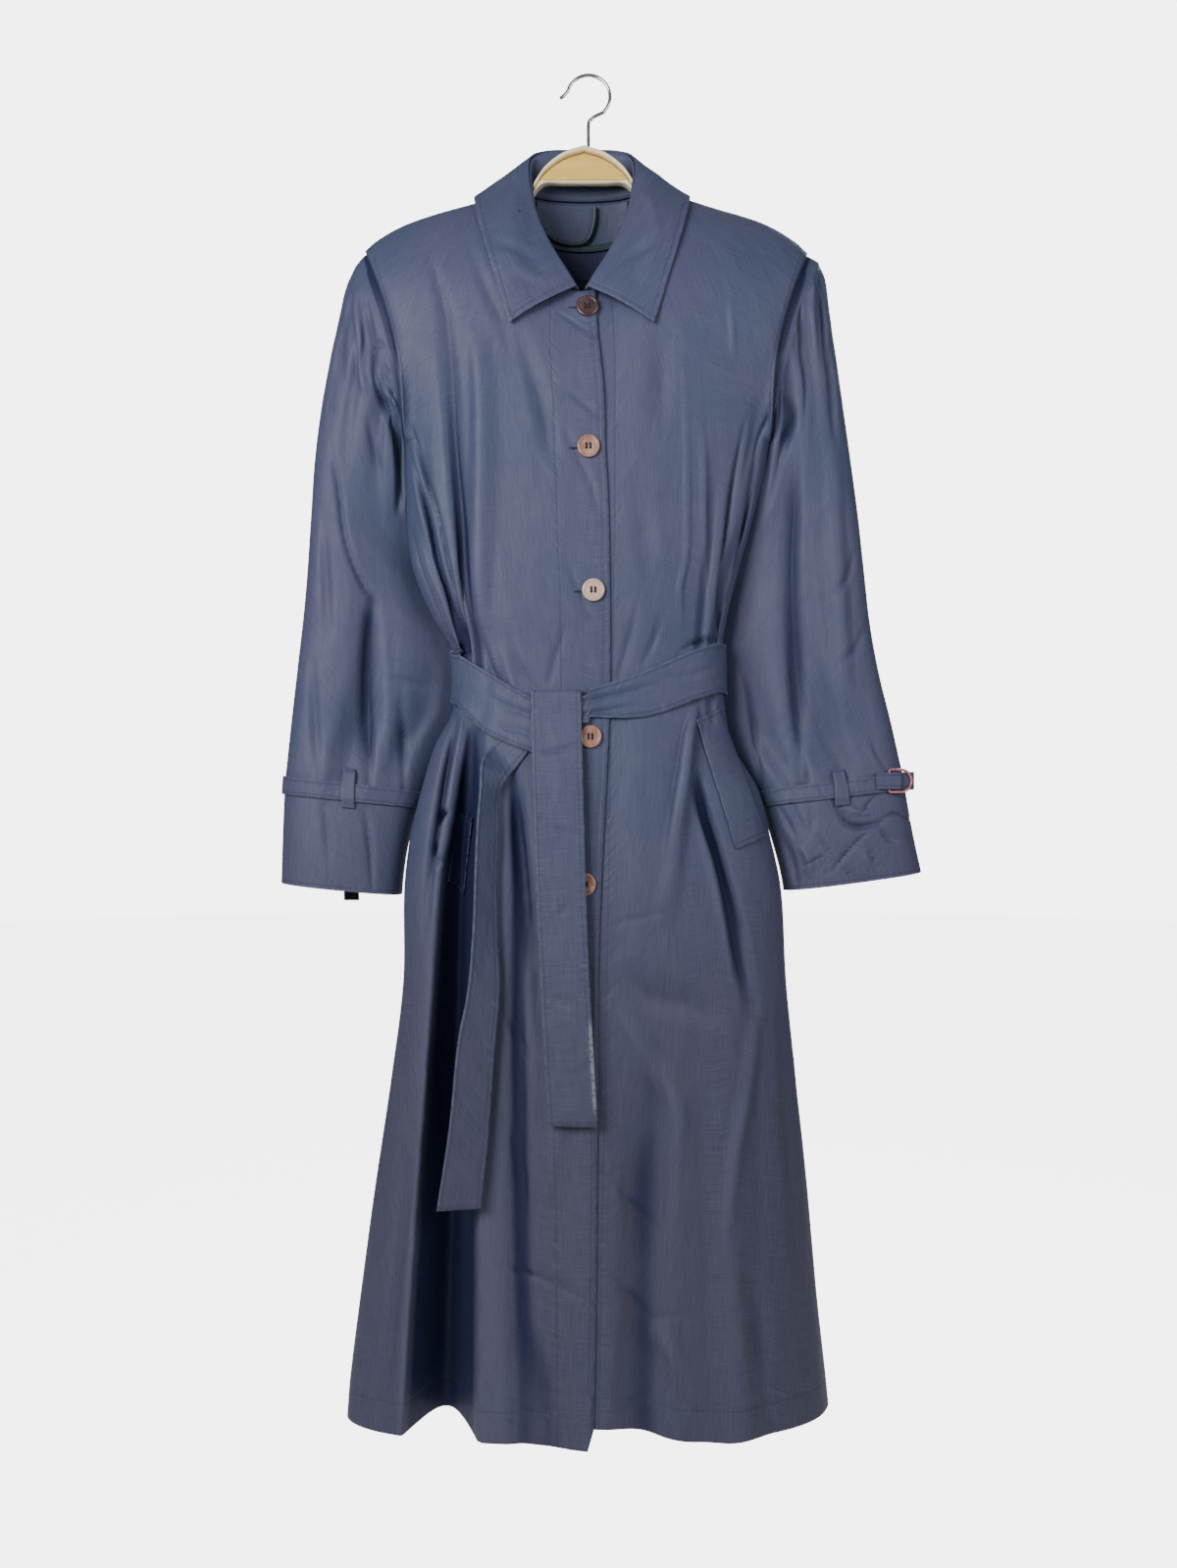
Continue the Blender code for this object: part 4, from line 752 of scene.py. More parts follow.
def beltGrid():
    def front(line, steps):
        x, z, half = through(line, steps).T
        return np.stack([waistTurn(x, z), z, half, beltLift(x)], axis=-1)
    first, last = (float(waistTurn(place, belt["back"])) for place in (beltRight[-1][0], beltLeft[0][0]))
    t = np.arange(1, belt["steps"]) / belt["steps"]
    turn = first - t * (4 + first - last)
    turn = np.where(turn > -2, turn, turn + 4)
    ends = np.where(t < 0.5, beltRight[-1][1], beltLeft[0][1])
    z = blend(belt["back"], ends, smooth(np.abs(2 * t - 1) ** belt["hold"]))
    behindLift = beltLift(float(belt["start"] + belt["over"]))
    back = np.stack([turn, z, 0 * t + belt["width"] / 2, 0 * t + behindLift], axis=-1)
    stations = [front(beltRight, belt["rightSteps"]), back, front(beltLeft, belt["leftSteps"])]
    turn, z, half, lift = np.concatenate(stations).T[..., None]
    return waistPoints(turn, z + half * np.linspace(1, -1, belt["columns"]), lift + 0 * half)


def overEndGrid(panel):  # from behind the belt up over its top edge and down in front
    step = cloth["band"] + cloth["gap"] + tie["layer"]
    top, low, middle, high = overEnd["z"][0] + tie["top"], *tie["down"]
    strips = [
        (top - low, restOnCoat), (top - middle, restOnCoat), (top - high, restOnCoat + tie["more"]),
        (top, restOnCoat + step), (top - high, restOnCoat + 2 * step),
    ]
    heights = np.array(tie["heights"])
    hang = tie["drop"] * smooth((tie["dropFrom"] - heights) / tie["dropOver"])
    strips += list(zip(heights, restOnCoat + 2 * step + hang))
    grid = []
    for z, lift in through(strips, tie["steps"]):
        right, left = (curveThrough(overEnd["z"], overEnd[name], z) for name in ("right", "left"))
        x = blend(right, left, np.linspace(0, 1, belt["columns"]))
        y = np.array([panel.depthAt(place, min(z, tie["below"]), tie["reach"]) for place in x])
        grid.append(point(x, y - lift, z))
    grid = np.array(grid)
    flat = soften(grid, tie["rounds"])
    return np.concatenate([grid[..., :1], flat[..., 1:2], grid[..., 2:]], axis=-1)


def underEndGrid(panel):  # from between the belt and the coat out under the belt's lower edge, then free
    rest = restOnCoat + tie["underRoom"]
    grid = []
    count = tie["underSteps"]
    for i, station in enumerate(through(underEnd, count)):
        free = smooth(i / count * (len(underEnd) - 1) - tie["underFree"])
        row = station[:3] + station[3:] * np.linspace(1, -1, belt["columns"])[:, None]
        lying = np.array([panel.depthAt(x, z, tie["underReach"]) for x, _, z in row]) - rest
        row[:, 1] = blend(lying, row[:, 1], free)
        grid.append(row)
    return np.array(grid)


weltCorners = dict(
    left=[(95, -602), (118, -590), (162, -707), (131, -719)],
    right=[(-103, -690), (-121, -684), (-129, -747), (-112, -761)],
)
welt = dict(steps=(56, 18), room=0.1, rounds=3)
cuff = dict(
    strap={-1: (11.6, 12.16), 1: (11.46, 12.12)}, loop=(10.95, 11.2, 11.75, 12.05, 12.3), loopHalf=4.0,
    loopLean={-1: (86.5, 92), 1: (84.5, 89)}, strapRows=12, strapSides=192, loopSteps=(40, 8),
    loopFoot=-0.1, loopRise=9,
)
cuffLift = restOnCoat + 0.3
neckInside = dict(
    seam=29.6, half=44, columns=61, top=-1.2, facing=-150, sag=8, lining=-330, facingRows=24, liningRows=40,
    binding=3, bindingRows=7, rest=-(cloth["wall"] + cloth["gap"] + 0.5),
)


def weltGrid(side, panel):
    a, b, c, d = np.array(weltCorners[side], float)
    lift = restOnCoat + welt["room"]
    rows = []
    for i in np.linspace(0, 1, welt["steps"][0]):
        start, end = blend(a, d, i), blend(b, c, i)
        places = (blend(start, end, j) for j in np.linspace(0, 1, welt["steps"][1]))
        rows.append([tuple(onPanel(panel, *place, lift)) for place in places])
    return settle(soften(np.array(rows), welt["rounds"]), [panel], lift)


def onPanel(panel, x, z, lift):
    place, normal = panel.at(x, z)
    return place + normal * lift


def strapGrid(side):
    row = np.linspace(*cuff["strap"][side], cuff["strapRows"])
    return sleevePoints(side, row[:, None], circle(cuff["strapSides"])[None], cuffLift)


def strapLoopGrid(side):
    steps, columns = cuff["loopSteps"]
    row = through([(r,) for r in cuff["loop"]], steps)
    step = np.arange(steps + 1)
    foot = cuffLift + cuff["loopFoot"]
    crown = cuffLift + cloth["band"] + cloth["gap"]
    lift = blend(foot, crown, smooth(np.minimum(step, steps - step) / cuff["loopRise"]))
    middle = np.linspace(*cuff["loopLean"][side], steps + 1)[:, None]
    angle = np.radians(middle + cuff["loopHalf"] * np.linspace(1, -1, columns))
    return sleevePoints(side, row, angle, lift[:, None] + 0 * angle)


def neckInsideGrids(panel):
    rest = neckInside["rest"]
    facing, lining, binding = [], [], []
    for across in np.linspace(-1, 1, neckInside["columns"]):
        x = coat["neckCentre"] + neckInside["half"] * across
        top = float(topEdge(np.array(x), 1)[0]) + neckInside["top"]
        bottom = neckInside["facing"] + neckInside["sag"] * across**2
        heights = np.linspace(top, bottom, neckInside["facingRows"])
        facing.append([onPanel(panel, x, z, rest) for z in heights])
        heights = np.linspace(bottom - cloth["gap"], neckInside["lining"], neckInside["liningRows"])
        lining.append([onPanel(panel, x, z, rest) for z in heights])
        heights = bottom + neckInside["binding"] * np.linspace(1, -1, neckInside["bindingRows"])
        binding.append([onPanel(panel, x, z, 2 * rest) for z in heights])
    return [np.array(grid) for grid in (facing, lining, binding)]


sleeveGrids = {side: sleeveGrid(side) for side in (-1, 1)}
standGrid, fallGrid = collarGrids([rightPanel, leftPanel, backPanel])
waistGrid, overGrid, underGrid = beltGrid(), overEndGrid(rightPanel), underEndGrid(rightPanel)
welts = dict(left=weltGrid("left", leftPanel), right=weltGrid("right", rightPanel))
facingGrid, liningGrid, bindingGrid = neckInsideGrids(backPanel)
print("sleeves, collar, belt and small pieces laid out")


frontRightCreases = dict(
    sideTrough=(0.5, (437, 255, 8), (447, 290, 9, 10, 1.6), (455, 330, 9, 12, 2.4), (460, 380, 9, 13, 3),
        (463, 430, 9, 14, 3.4), (466, 480, 8, 14, 3.8), (469, 520, 8, 14, 4), (471, 560, 8, 12, 4),
        (472, 600, 7, 12, 4), (474, 640, 6, 10, 3.4), (477, 668, 5, 8, 2)),
    sideBulge=(0, (482, 330, 12, 18, 0), (488, 380, 13, 20, -3), (490, 450, 13, 20, -4),
        (489, 520, 13, 20, -4), (488, 580, 12, 18, -3), (490, 640, 8, 14, 0)),
    dragA=(1, (417, 425, 5, 4, 0), (430, 470, 6, 4, 3.5), (445, 520, 6, 4, 4), (458, 580, 6, 4, 4),
        (468, 630, 5, 4, 3), (476, 665, 4, 3, 1.5)),
    dragB=(1, (416, 455, 5, 4, 0), (430, 500, 6, 4, 3), (440, 540, 6, 4, 3.5), (452, 590, 6, 4, 3.5),
        (465, 640, 5, 4, 3), (472, 660, 4, 3, 1.5)),
    dragC=(1, (418, 530, 5, 4, 0), (425, 570, 6, 4, 3), (435, 600, 6, 4, 3), (450, 635, 5, 4, 3),
        (468, 665, 4, 3, 1)),
    dragRidge=(0, (418, 460, 4), (432, 530, 5, -2.5), (447, 590, 5, -2.5), (470, 655, 4, -0.5)),
    beltFoldA=(1, (450, 642, 4), (460, 656, 4, 2), (470, 668, 4, 1)),
    chestTrough=(0, (526, 330, 12, 14, 0), (548, 400, 13, 15, 2.5), (556, 440, 12, 14, 2.5),
        (562, 470, 12)),
    placketA=(1, (568, 318, 3, 4, 0.4), (590, 332, 4, 5, 1.6), (612, 346, 3, 4, 0.8)),
    placketA2=(1, (578, 318, 3), (597, 329, 3, 4, 1), (612, 338, 3, 0.5)),
    placketB=(0.7, (576, 398, 4), (590, 408, 4, 5, 1.5), (611, 426, 4, 5, 1)),
    placketC=(0.4, (573, 430, 5), (586, 460, 5, 6, 1.4), (600, 490, 5, 6, 1.4), (612, 530, 5)),
    placketD=(0.6, (574, 560, 5), (584, 588, 5, 1.2), (598, 622, 6, 1.4), (612, 640, 5)),
    waistA=(0.5, (486, 632, 6), (500, 680, 7, 2.4), (515, 704, 7, 1.5)),
    waistB=(0.5, (518, 648, 5), (530, 680, 6, 1.8), (545, 704, 6, 1)),
    waistC=(0.4, (577, 634, 5), (568, 664, 6, 1.5), (560, 694, 6, 1.2)),
    waistRidge=(0, (508, 650, 7), (522, 694, 8, -1.5), (528, 706, 8, -1)),
    shoulderPull=(0, (478, 248, 8), (494, 290, 9, 1.4), (512, 330, 9, 1.2), (524, 372, 8)),
    foldEdge=(0.8, (466, 735, 4, 5, 0.5), (455, 790, 5, 2.2), (445, 860, 5, 2.2), (440, 905, 5)),
    foldCrest=(0, (475, 745, 5, -0.5), (465, 800, 6, -2.2), (455, 850, 6, -2.2), (445, 892, 5)),
    besideEnd=(0.3, (520, 770, 8, 10, 1), (526, 830, 10, 14, 4), (536, 920, 12, 16, 5),
        (545, 1000, 14, 18, 4), (552, 1080, 14, 16, 0)),
    panelCreaseA=(0.7, (505, 1022, 6), (525, 1052, 7, 1.4), (547, 1088, 6)),
    panelCreaseB=(0.7, (498, 1288, 6, 7, 0), (530, 1296, 7, 8, 1.2), (560, 1305, 8, 1.7),
        (606, 1333, 6, 8, 0.8)),
    lapCrease=(0.6, (558, 1212, 6), (585, 1245, 7, 1.1), (602, 1292, 6)),
    panelCreaseC=(0.5, (512, 1130, 8), (530, 1190, 10, 2), (540, 1250, 9)),
    outerFoldSoft=(0, (404, 960, 10), (398, 1060, 12, 2.2), (392, 1180, 12, 2.2), (384, 1300, 12)),
    outerFoldLow=(0.3, (420, 1180, 8), (408, 1280, 9, 2), (398, 1380, 9, 1.8), (392, 1450, 9, 1)),
    panelSoft=(0, (560, 1060, 16), (566, 1150, 18, -2.2), (562, 1230, 16)),
    panelLow=(0, (540, 1340, 16), (552, 1400, 18, 2), (560, 1465, 16, 1)),
)
frontLeftCreases = dict(
    thinRidgeA=(0.4, (697, 335, 4), (700, 450, 5, -1.7), (700, 560, 5, -1.7), (693, 600, 5, -1.7),
        (695, 645, 4)),
    thinRidgeB=(0.4, (713, 395, 4), (717, 470, 5, -1.6), (718, 550, 5, -1.6), (722, 625, 4)),
    thinRidgeC=(0.3, (744, 300, 5), (747, 340, 6, -1.6), (748, 385, 5)),
    chestTrough=(0, (676, 320, 16), (674, 390, 18, 2.4), (668, 450, 16)),
    chestSoft=(0, (650, 470, 16), (656, 540, 18, 1.8), (664, 610, 15)),
    dragA=(1, (762, 420, 5), (752, 470, 5, 6, 3), (745, 510, 5, 6, 3.6), (740, 560, 5, 6, 3.6),
        (733, 610, 5, 6, 3.2), (730, 657, 4, 5, 1.5)),
    dragB=(1, (764, 500, 5, 6, 0), (757, 540, 5, 7, 4), (748, 590, 5, 7, 4.4), (738, 620, 5, 7, 3.6),
        (733, 657, 4, 5, 1.5)),
    dragC=(0.8, (751, 470, 4), (745, 520, 5, 2.4), (738, 570, 5, 2.4), (730, 642, 4, 0.5)),
    notch=(1, (787, 412, 5, 3), (776, 440, 5, 6, 3), (766, 472, 4, 5, 0)),
    dragRidge=(0, (772, 440, 4, 5, 0), (760, 490, 5, 6, -2.2), (750, 550, 5, -2), (742, 600, 4)),
    wedge=(0.7, (688, 668, 5), (712, 655, 6, 2.6), (734, 651, 5, 1)),
    waistA=(0.4, (650, 610, 6), (642, 650, 7, 1.6), (630, 690, 6, 1)),
    waistB=(0.4, (676, 620, 5), (668, 650, 6, 1.6), (656, 676, 6, 1)),
    hipRidge=(0, (712, 715, 7, -1), (703, 745, 8, -3), (697, 790, 9, -3.2), (688, 840, 9, -2.4),
        (677, 885, 8)),
    hipTrough=(0.2, (703, 790, 7), (715, 830, 8, 2.6), (730, 880, 9, 3), (745, 940, 9, 3),
        (755, 990, 9, 2.4), (766, 1025, 8)),
    hipLineA=(0.2, (727, 855, 6), (745, 930, 7, -2), (757, 975, 7, -2), (768, 1022, 6)),
    hipLineB=(0.2, (699, 786, 6), (716, 850, 8, -2), (730, 900, 8, -2.2), (746, 1005, 6)),
    softHollow=(0, (636, 980, 20, 24, 0), (664, 1012, 26, 30, 3.2), (706, 1024, 24, 2.6),
        (738, 1044, 20)),
    diagonalBand=(0, (618, 1012, 12, 14, 0), (655, 1070, 14, 16, -2.6), (690, 1130, 15, 16, -2.8),
        (684, 1205, 14)),
    fineLineA=(0.8, (612, 946, 4), (648, 937, 4, 1.2), (682, 930, 4)),
    softDark=(0, (652, 1150, 30, 32, 0), (656, 1215, 36, 38, 2.0), (658, 1290, 30, 34, 0)),
    lapCreaseA=(0.6, (612, 1192, 5, 0.5), (640, 1220, 6, 7, 1.1), (682, 1262, 6)),
    lapCreaseB=(0.6, (609, 1288, 6, 0.5), (640, 1315, 7, 1.4), (670, 1347, 6)),
    lapCreaseC=(0.6, (664, 1343, 5), (688, 1341, 6, 1.1), (712, 1338, 5)),
    brightPatch=(0, (664, 1345, 12, 14, 0), (680, 1370, 14, 16, -2.4), (700, 1402, 12, 14, 0)),
    toneRidge=(0, (773, 1022, 10), (762, 1100, 12, -3), (748, 1180, 12, -3), (737, 1295, 11)),
    sideSoft=(0, (796, 1000, 9), (800, 1090, 11, 2.2), (806, 1200, 11, 2.2), (812, 1310, 10)),
    lowerSoft=(0, (760, 1270, 14), (770, 1350, 16, 2.4), (776, 1440, 14, 1)),
    shortLine=(0.6, (610, 1140, 5), (626, 1172, 6, 0.8), (641, 1202, 5)),
    hemCrease=(0.7, (688, 1418, 5), (705, 1431, 6, 1.0), (722, 1442, 5)),
    markA=(0.9, (764, 1017, 3), (769, 1022, 3, 0.9), (774, 1027, 3)),
    markB=(0.9, (770, 917, 3), (776, 921, 3, 0.9), (781, 926, 3)),
)
# On the back: across and depth below the hook, in millimetres.
backCreases = dict(
    bladeRight=(0, (-120, 300, 12), (-96, 350, 14, 2.6), (-66, 410, 13, 2.2), (-44, 470, 11)),
    bladeLeft=(0, (128, 320, 12), (104, 368, 13, 2.4), (78, 420, 13, 2.4), (58, 482, 11)),
    waistOne=(0.6, (-106, 455, 6), (-94, 520, 6, 5, 3), (-87, 572, 5, 3.4), (-92, 640, 6, 7, 2.4),
        (-101, 716, 7, 8, 0)),
    waistTwo=(0.5, (-74, 480, 6), (-66, 535, 5, 6, 2.6), (-62, 574, 5, 3), (-70, 650, 7, 2.2),
        (-84, 760, 8, 9, 0)),
    waistThree=(0.6, (-36, 470, 6, 7, 0), (-30, 528, 5, 6, 2.4), (-26, 575, 5, 2.8), (-30, 662, 7, 1.8),
        (-38, 742, 8)),
    waistFour=(0.5, (16, 486, 6), (20, 532, 5, 2.2), (19, 574, 5, 2.8), (26, 640, 6, 7, 2),
        (38, 730, 8)),
    waistFive=(0.6, (62, 462, 6), (68, 528, 6, 5, 3), (66, 575, 5, 3.2), (74, 654, 7, 6, 2.2),
        (84, 748, 8)),
    waistSix=(0.6, (106, 470, 6), (98, 524, 5, 6, 2.8), (93, 574, 5, 3.2), (101, 636, 6, 2.2),
        (112, 700, 7)),
    seatOne=(0, (-118, 790, 18), (-96, 850, 22, 0.9), (-60, 900, 22, 0.8), (-22, 930, 18)),
    seatTwo=(0, (128, 800, 18), (104, 868, 22, 1.0), (72, 926, 22, 0.8), (40, 962, 18)),
    skirtOne=(0, (-150, 880, 14), (-158, 1000, 17, 16, 3.4), (-168, 1120, 18, 17, 3.8),
        (-176, 1230, 16, 2.4)),
    skirtTwo=(0, (-66, 930, 13, 14, 0), (-60, 1030, 16, 17, 2.6), (-54, 1130, 17, 18, 3.2),
        (-52, 1228, 16, 2)),
    skirtThree=(0, (44, 960, 14, 13, 0), (50, 1060, 17, 16, 2.4), (52, 1150, 18, 16, 3),
        (56, 1230, 16, 2)),
    skirtFour=(0, (146, 900, 14), (156, 1010, 17, 16, 3.2), (164, 1120, 17, 3.6), (168, 1230, 16, 2.4)),
    skirtLineA=(0.3, (-28, 1040, 8), (-24, 1086, 9, 0.9), (-14, 1132, 8)),
    skirtLineB=(0.3, (100, 1160, 8), (88, 1190, 9, 0.9), (80, 1214, 8)),
)
sleeveRightCreases = dict(
    headTuckA=(0.9, (364, 288, 4, 0.5), (374, 284, 4, 2.8), (385, 288, 3, 4, 1.6)),
    headTuckB=(0.7, (386, 294, 3, 1.6), (379, 303, 4, 2.2), (371, 312, 3, 4, 0)),
    headRidge=(0, (364, 298, 5, -1), (366, 330, 6, 5, -3), (369, 380, 5, -2.8), (373, 405, 4, 5, 0)),
    headDark=(0.6, (375, 312, 4, 5, 0.5), (378, 345, 4, 8, 3.6), (381, 378, 4, 8, 3.6),
        (385, 404, 4, 5, 0)),
    headArc=(0.9, (379, 356, 3, 4, 0.6), (388, 351, 3, 4, 1.8), (397, 356, 3, 5, 2.0),
        (404, 368, 3, 5, 2.0), (409, 384, 3, 4, 0.6)),
    headSlant=(0, (386, 382, 3, 4, -1), (398, 404, 4, 5, -3), (411, 426, 4, -1)),
    tuckA=(0.9, (377, 355, 3), (385, 353, 3, 4, 1.4), (393, 352, 3, 0.6)),
    tuckB=(0.9, (392, 377, 3), (400, 381, 3, 4, 1.4), (408, 386, 3, 0.6)),
    hollow=(0.4, (384, 392, 5, 0.6), (393, 415, 7, 6, 4), (405, 442, 9, 6, 6), (409, 490, 8, 7, 5),
        (405, 530, 7)),
    besideHollow=(0.3, (374, 415, 6), (380, 450, 7, 6, 2), (386, 488, 6)),
    sweep=(0.7, (336, 448, 5, 6, 0), (345, 500, 5, 7, 2.6), (350, 540, 5, 7, 3), (358, 570, 5, 7, 3.2),
        (372, 600, 6, 7, 3), (391, 627, 6)),
    longTrough=(0.1, (380, 602, 8), (377, 640, 11, 10, 5), (374, 700, 11, 5.5), (375, 760, 11, 10, 4.5),
        (377, 800, 9, 2)),
    longRidge=(0, (393, 612, 5, 6, 0), (394, 700, 6, 7, -2.4), (395, 785, 6)),
    innerTrough=(0.2, (407, 680, 6), (410, 740, 7, 3), (412, 806, 6, 1)),
    smallA=(0.9, (329, 415, 3), (337, 418, 3, 4, 1.3), (346, 420, 3)),
    smallB=(0.7, (398, 689, 4), (420, 696, 4, 5, 1.6), (441, 701, 4)),
    upperSoft=(0, (346, 300, 7), (348, 350, 8, 2.2), (350, 410, 8)),
    middleSoft=(0, (330, 520, 7, 8, 0), (332, 590, 8, 9, 2.2), (336, 660, 8)),
    lowerSoft=(0, (318, 660, 7, 8, 0), (320, 730, 8, 9, 2.2), (326, 790, 7, 0.5)),
    cuffA=(0.5, (330, 822, 5, 0.5), (333, 850, 6, 2), (336, 884, 5)),
    cuffB=(0.4, (372, 824, 6, 0.5), (377, 862, 7, 6, 2.6), (380, 905, 6, 1)),
)
sleeveLeftCreases = dict(
    headDark=(0.7, (816, 262, 4, 0.5), (814, 290, 5, 4, 3.6), (817, 330, 6, 4, 4), (818, 360, 6, 4, 3.6),
        (822, 395, 5, 3), (820, 442, 5)),
    headTuck=(0.9, (820, 268, 3, 4, 0.8), (812, 276, 4, 2.2), (806, 290, 3, 0.6)),
    satinRidge=(0, (827, 258, 4, -1), (826, 290, 5, -3.2), (829, 335, 5, -1.6), (833, 380, 4, 5, 0)),
    satinTrough=(0.7, (835, 268, 4, 0.4), (838, 310, 4, 5, 3), (841, 352, 4, 2), (846, 400, 4)),
    hollow=(0.4, (798, 400, 5, 6, 0), (806, 425, 8, 4), (798, 455, 8, 4), (790, 490, 7, 2),
        (782, 520, 5)),
    longTrough=(0.1, (812, 440, 9, 10, 0), (808, 520, 12, 4.6), (806, 600, 12, 13, 5),
        (811, 700, 12, 13, 5), (818, 795, 10, 2)),
    outerRidge=(0, (848, 440, 12), (852, 560, 14, -3), (858, 660, 14, -3), (864, 740, 12)),
    lowerCrease=(0.5, (754, 678, 5, 6, 0), (764, 722, 6, 2.4), (771, 765, 6, 2.4), (775, 802, 5)),
    elbowA=(0.6, (873, 560, 5), (862, 590, 6, 2.2), (846, 612, 5)),
    elbowB=(0.6, (884, 640, 5), (870, 664, 6, 2), (852, 680, 5)),
    upperSoft=(0, (846, 330, 5), (848, 400, 6, 2), (852, 460, 6)),
    cuffBend=(0.2, (851, 815, 5, 1.35), (857, 831, 6, 3.24), (865, 840, 6, 3.78), (878, 843, 6, 3.51),
        (898, 839, 5, 6, 1.62)),
    cuffEdge=(0.8, (900, 835, 3, 4, 0.54), (913, 830, 3, 4, 2.16), (928, 836, 3, 4, 1.62)),
    cuffHollow=(0, (897, 842, 5, 6, 0.6), (905, 854, 6, 7, 2.2), (916, 859, 5)),
    cuffLineA=(0.9, (892, 812, 3, 0.85), (884, 822, 3, 2.38), (875, 833, 3, 0.68)),
    cuffLineB=(0.9, (883, 850, 3, 1.02), (867, 865, 3, 3.4), (857, 877, 3, 3.06), (848, 890, 3, 0.68)),
    cuffLineC=(0.9, (833, 850, 3, 0.51), (840, 862, 3, 2.21), (854, 879, 3, 0.51)),
    cuffLineD=(0.8, (820, 883, 3, 0.51), (829, 878, 3, 2.04), (838, 873, 3, 0.51)),
    cuffLineE=(0.9, (836, 871, 3, 0.51), (840, 880, 3, 1.87), (844, 891, 3, 1.02)),
    cuffLineF=(0.9, (883, 864, 3, 0.68), (890, 874, 3, 2.38), (897, 885, 3, 1.02)),
    cuffLineG=(0.9, (858, 884, 3, 0.51), (864, 890, 3, 2.04), (871, 896, 3, 1.02)),
    cuffStreakA=(0.3, (794, 822, 4, 0.28), (804, 840, 5, 1.26), (812, 856, 4)),
    cuffStreakB=(0.3, (806, 816, 4, 0.28), (814, 836, 4, 5, 1.12), (824, 856, 4)),
    cuffStreakC=(0.3, (826, 816, 4, 0.28), (828, 836, 4, 5, 1.05), (826, 856, 4)),
    cuffDark=(0.1, (798, 852, 6, 0.5), (806, 874, 7, 2.4), (812, 898, 6, 1)),
    cuffCrestA=(0, (815, 862, 6), (824, 874, 7, -1.8), (826, 892, 6, -0.6)),
    cuffCrestB=(0, (862, 820, 5), (874, 828, 6, 5, -1.8), (892, 828, 5)),
    cuffCrestC=(0, (872, 862, 6), (882, 876, 7, -1.6), (884, 894, 6, -0.4)),
    aboveStrap=(0.6, (886, 745, 5), (894, 768, 5, 1.8), (904, 784, 4, 0.5)),
)


calm = dict(  # how far from a panel's edges creases and waves fade in, and how far up the back waves start
    side=14, top=10, backTop=340, backOver=30, viewFrom=0.02, viewOver=0.25, sleeveFrom=-0.1,
    sleeveOver=0.5, sleeveInner=0.3, sleeveRadius=60, rounds=3, fall=12, fallRise=0.5,
)
upright = np.array([1, waves["upright"]])  # how the small waves of hanging cloth are drawn out


def behind(grid, depth=cloth["inside"]):  # the same places, moved to one depth
    return grid * [1, 0, 1] + [0, depth, 0]


def core(grid, depth):  # an upright line inside the coat, for telling inside from outside
    return grid * [0, 0, 1] + [0, depth, 0]


def cutPlaces(grid):
    return np.stack([lengths(grid, 1), lengths(grid, 0)], axis=-1)


def pressIn(grid, outward, creases, weight, spots=None):
    spots = seen(grid) if spots is None else spots
    depth = cloth["creaseScale"] * creaseDepth(spots, creases) * weight
    return grid - outward * depth[..., None]


def uneven(grid, outward, spots, wave, seed, weight=1.0):
    amount, size = wave
    return grid - outward * (amount * ripple(spots, size, seed) * weight)[..., None]


def away(grid, side):  # from the shape's own edges, for creases and waves to fade out there
    down, across = lengths(grid, 0), lengths(grid, 1)
    return {"top": down, "bottom": down[-1:] - down, "first": across, "last": across[:, -1:] - across}[side]


def outwardOf(grid, inside, ring=False):
    normals = normalsOf(grid, ring)
    return normals * (1 if np.sum(normals * (grid - inside)) > 0 else -1)


def facingCamera(outward):
    return smooth((-outward[..., 1] - calm["viewFrom"]) / calm["viewOver"])


def shapeFront(grid, creases, seed):
    outward = outwardOf(grid, core(grid, cloth["inside"]))
    free = smooth(away(grid, "last") / calm["side"]) * smooth(away(grid, "top") / calm["top"])
    grid = pressIn(grid, outward, creases, free * facingCamera(outward))
    spots = cutPlaces(grid) * upright
    for number, wave in enumerate(waves["body"]):
        grid = uneven(grid, outward, spots, wave, seed + number, free)
    return grid


def shapeBack(grid):
    outward = outwardOf(grid, core(grid, -cloth["inside"]))
    sides = np.minimum(away(grid, "last"), away(grid, "first"))
    weight = smooth(sides / calm["side"]) * smooth(away(grid, "top") / calm["top"])
    spots = grid[..., [0, 2]] * [1, -1]
    grid = pressIn(grid, outward, backCreases, weight, spots)
    free = weight * smooth((-grid[..., 2] - calm["backTop"]) / calm["backOver"])
    for number, wave in enumerate(waves["body"]):
        grid = uneven(grid, outward, spots * upright, wave, 21 + number, free)
    return grid


def shapeSleeve(side, creases):
    grid, row, angle = sleeveGrids[side]
    middle = grid.mean(axis=1, keepdims=True)
    outward = outwardOf(grid, middle, ring=True)
    outward = unit(soften(outward, calm["rounds"], ring=True))
    begin = smooth((row - calm["sleeveFrom"]) / calm["sleeveOver"])
    gathers = foldsRound(sleeveGathers, angle, row)
    grid = grid - outward * (gathers * begin)[..., None]
    grid = pressIn(grid, outward, creases, begin * facingCamera(outward))
    x, y = np.cos(angle) * calm["sleeveRadius"], np.sin(angle) * calm["sleeveRadius"]
    spots = np.stack([x, y + lengths(grid, 0) * upright[1]], axis=-1)
    free = begin * smooth((1 + np.cos(angle)) / calm["sleeveInner"])
    for seed, wave in zip((31, 41), waves["sleeve"]):
        grid = uneven(grid, outward, spots, wave, seed + side, free)
    return grid


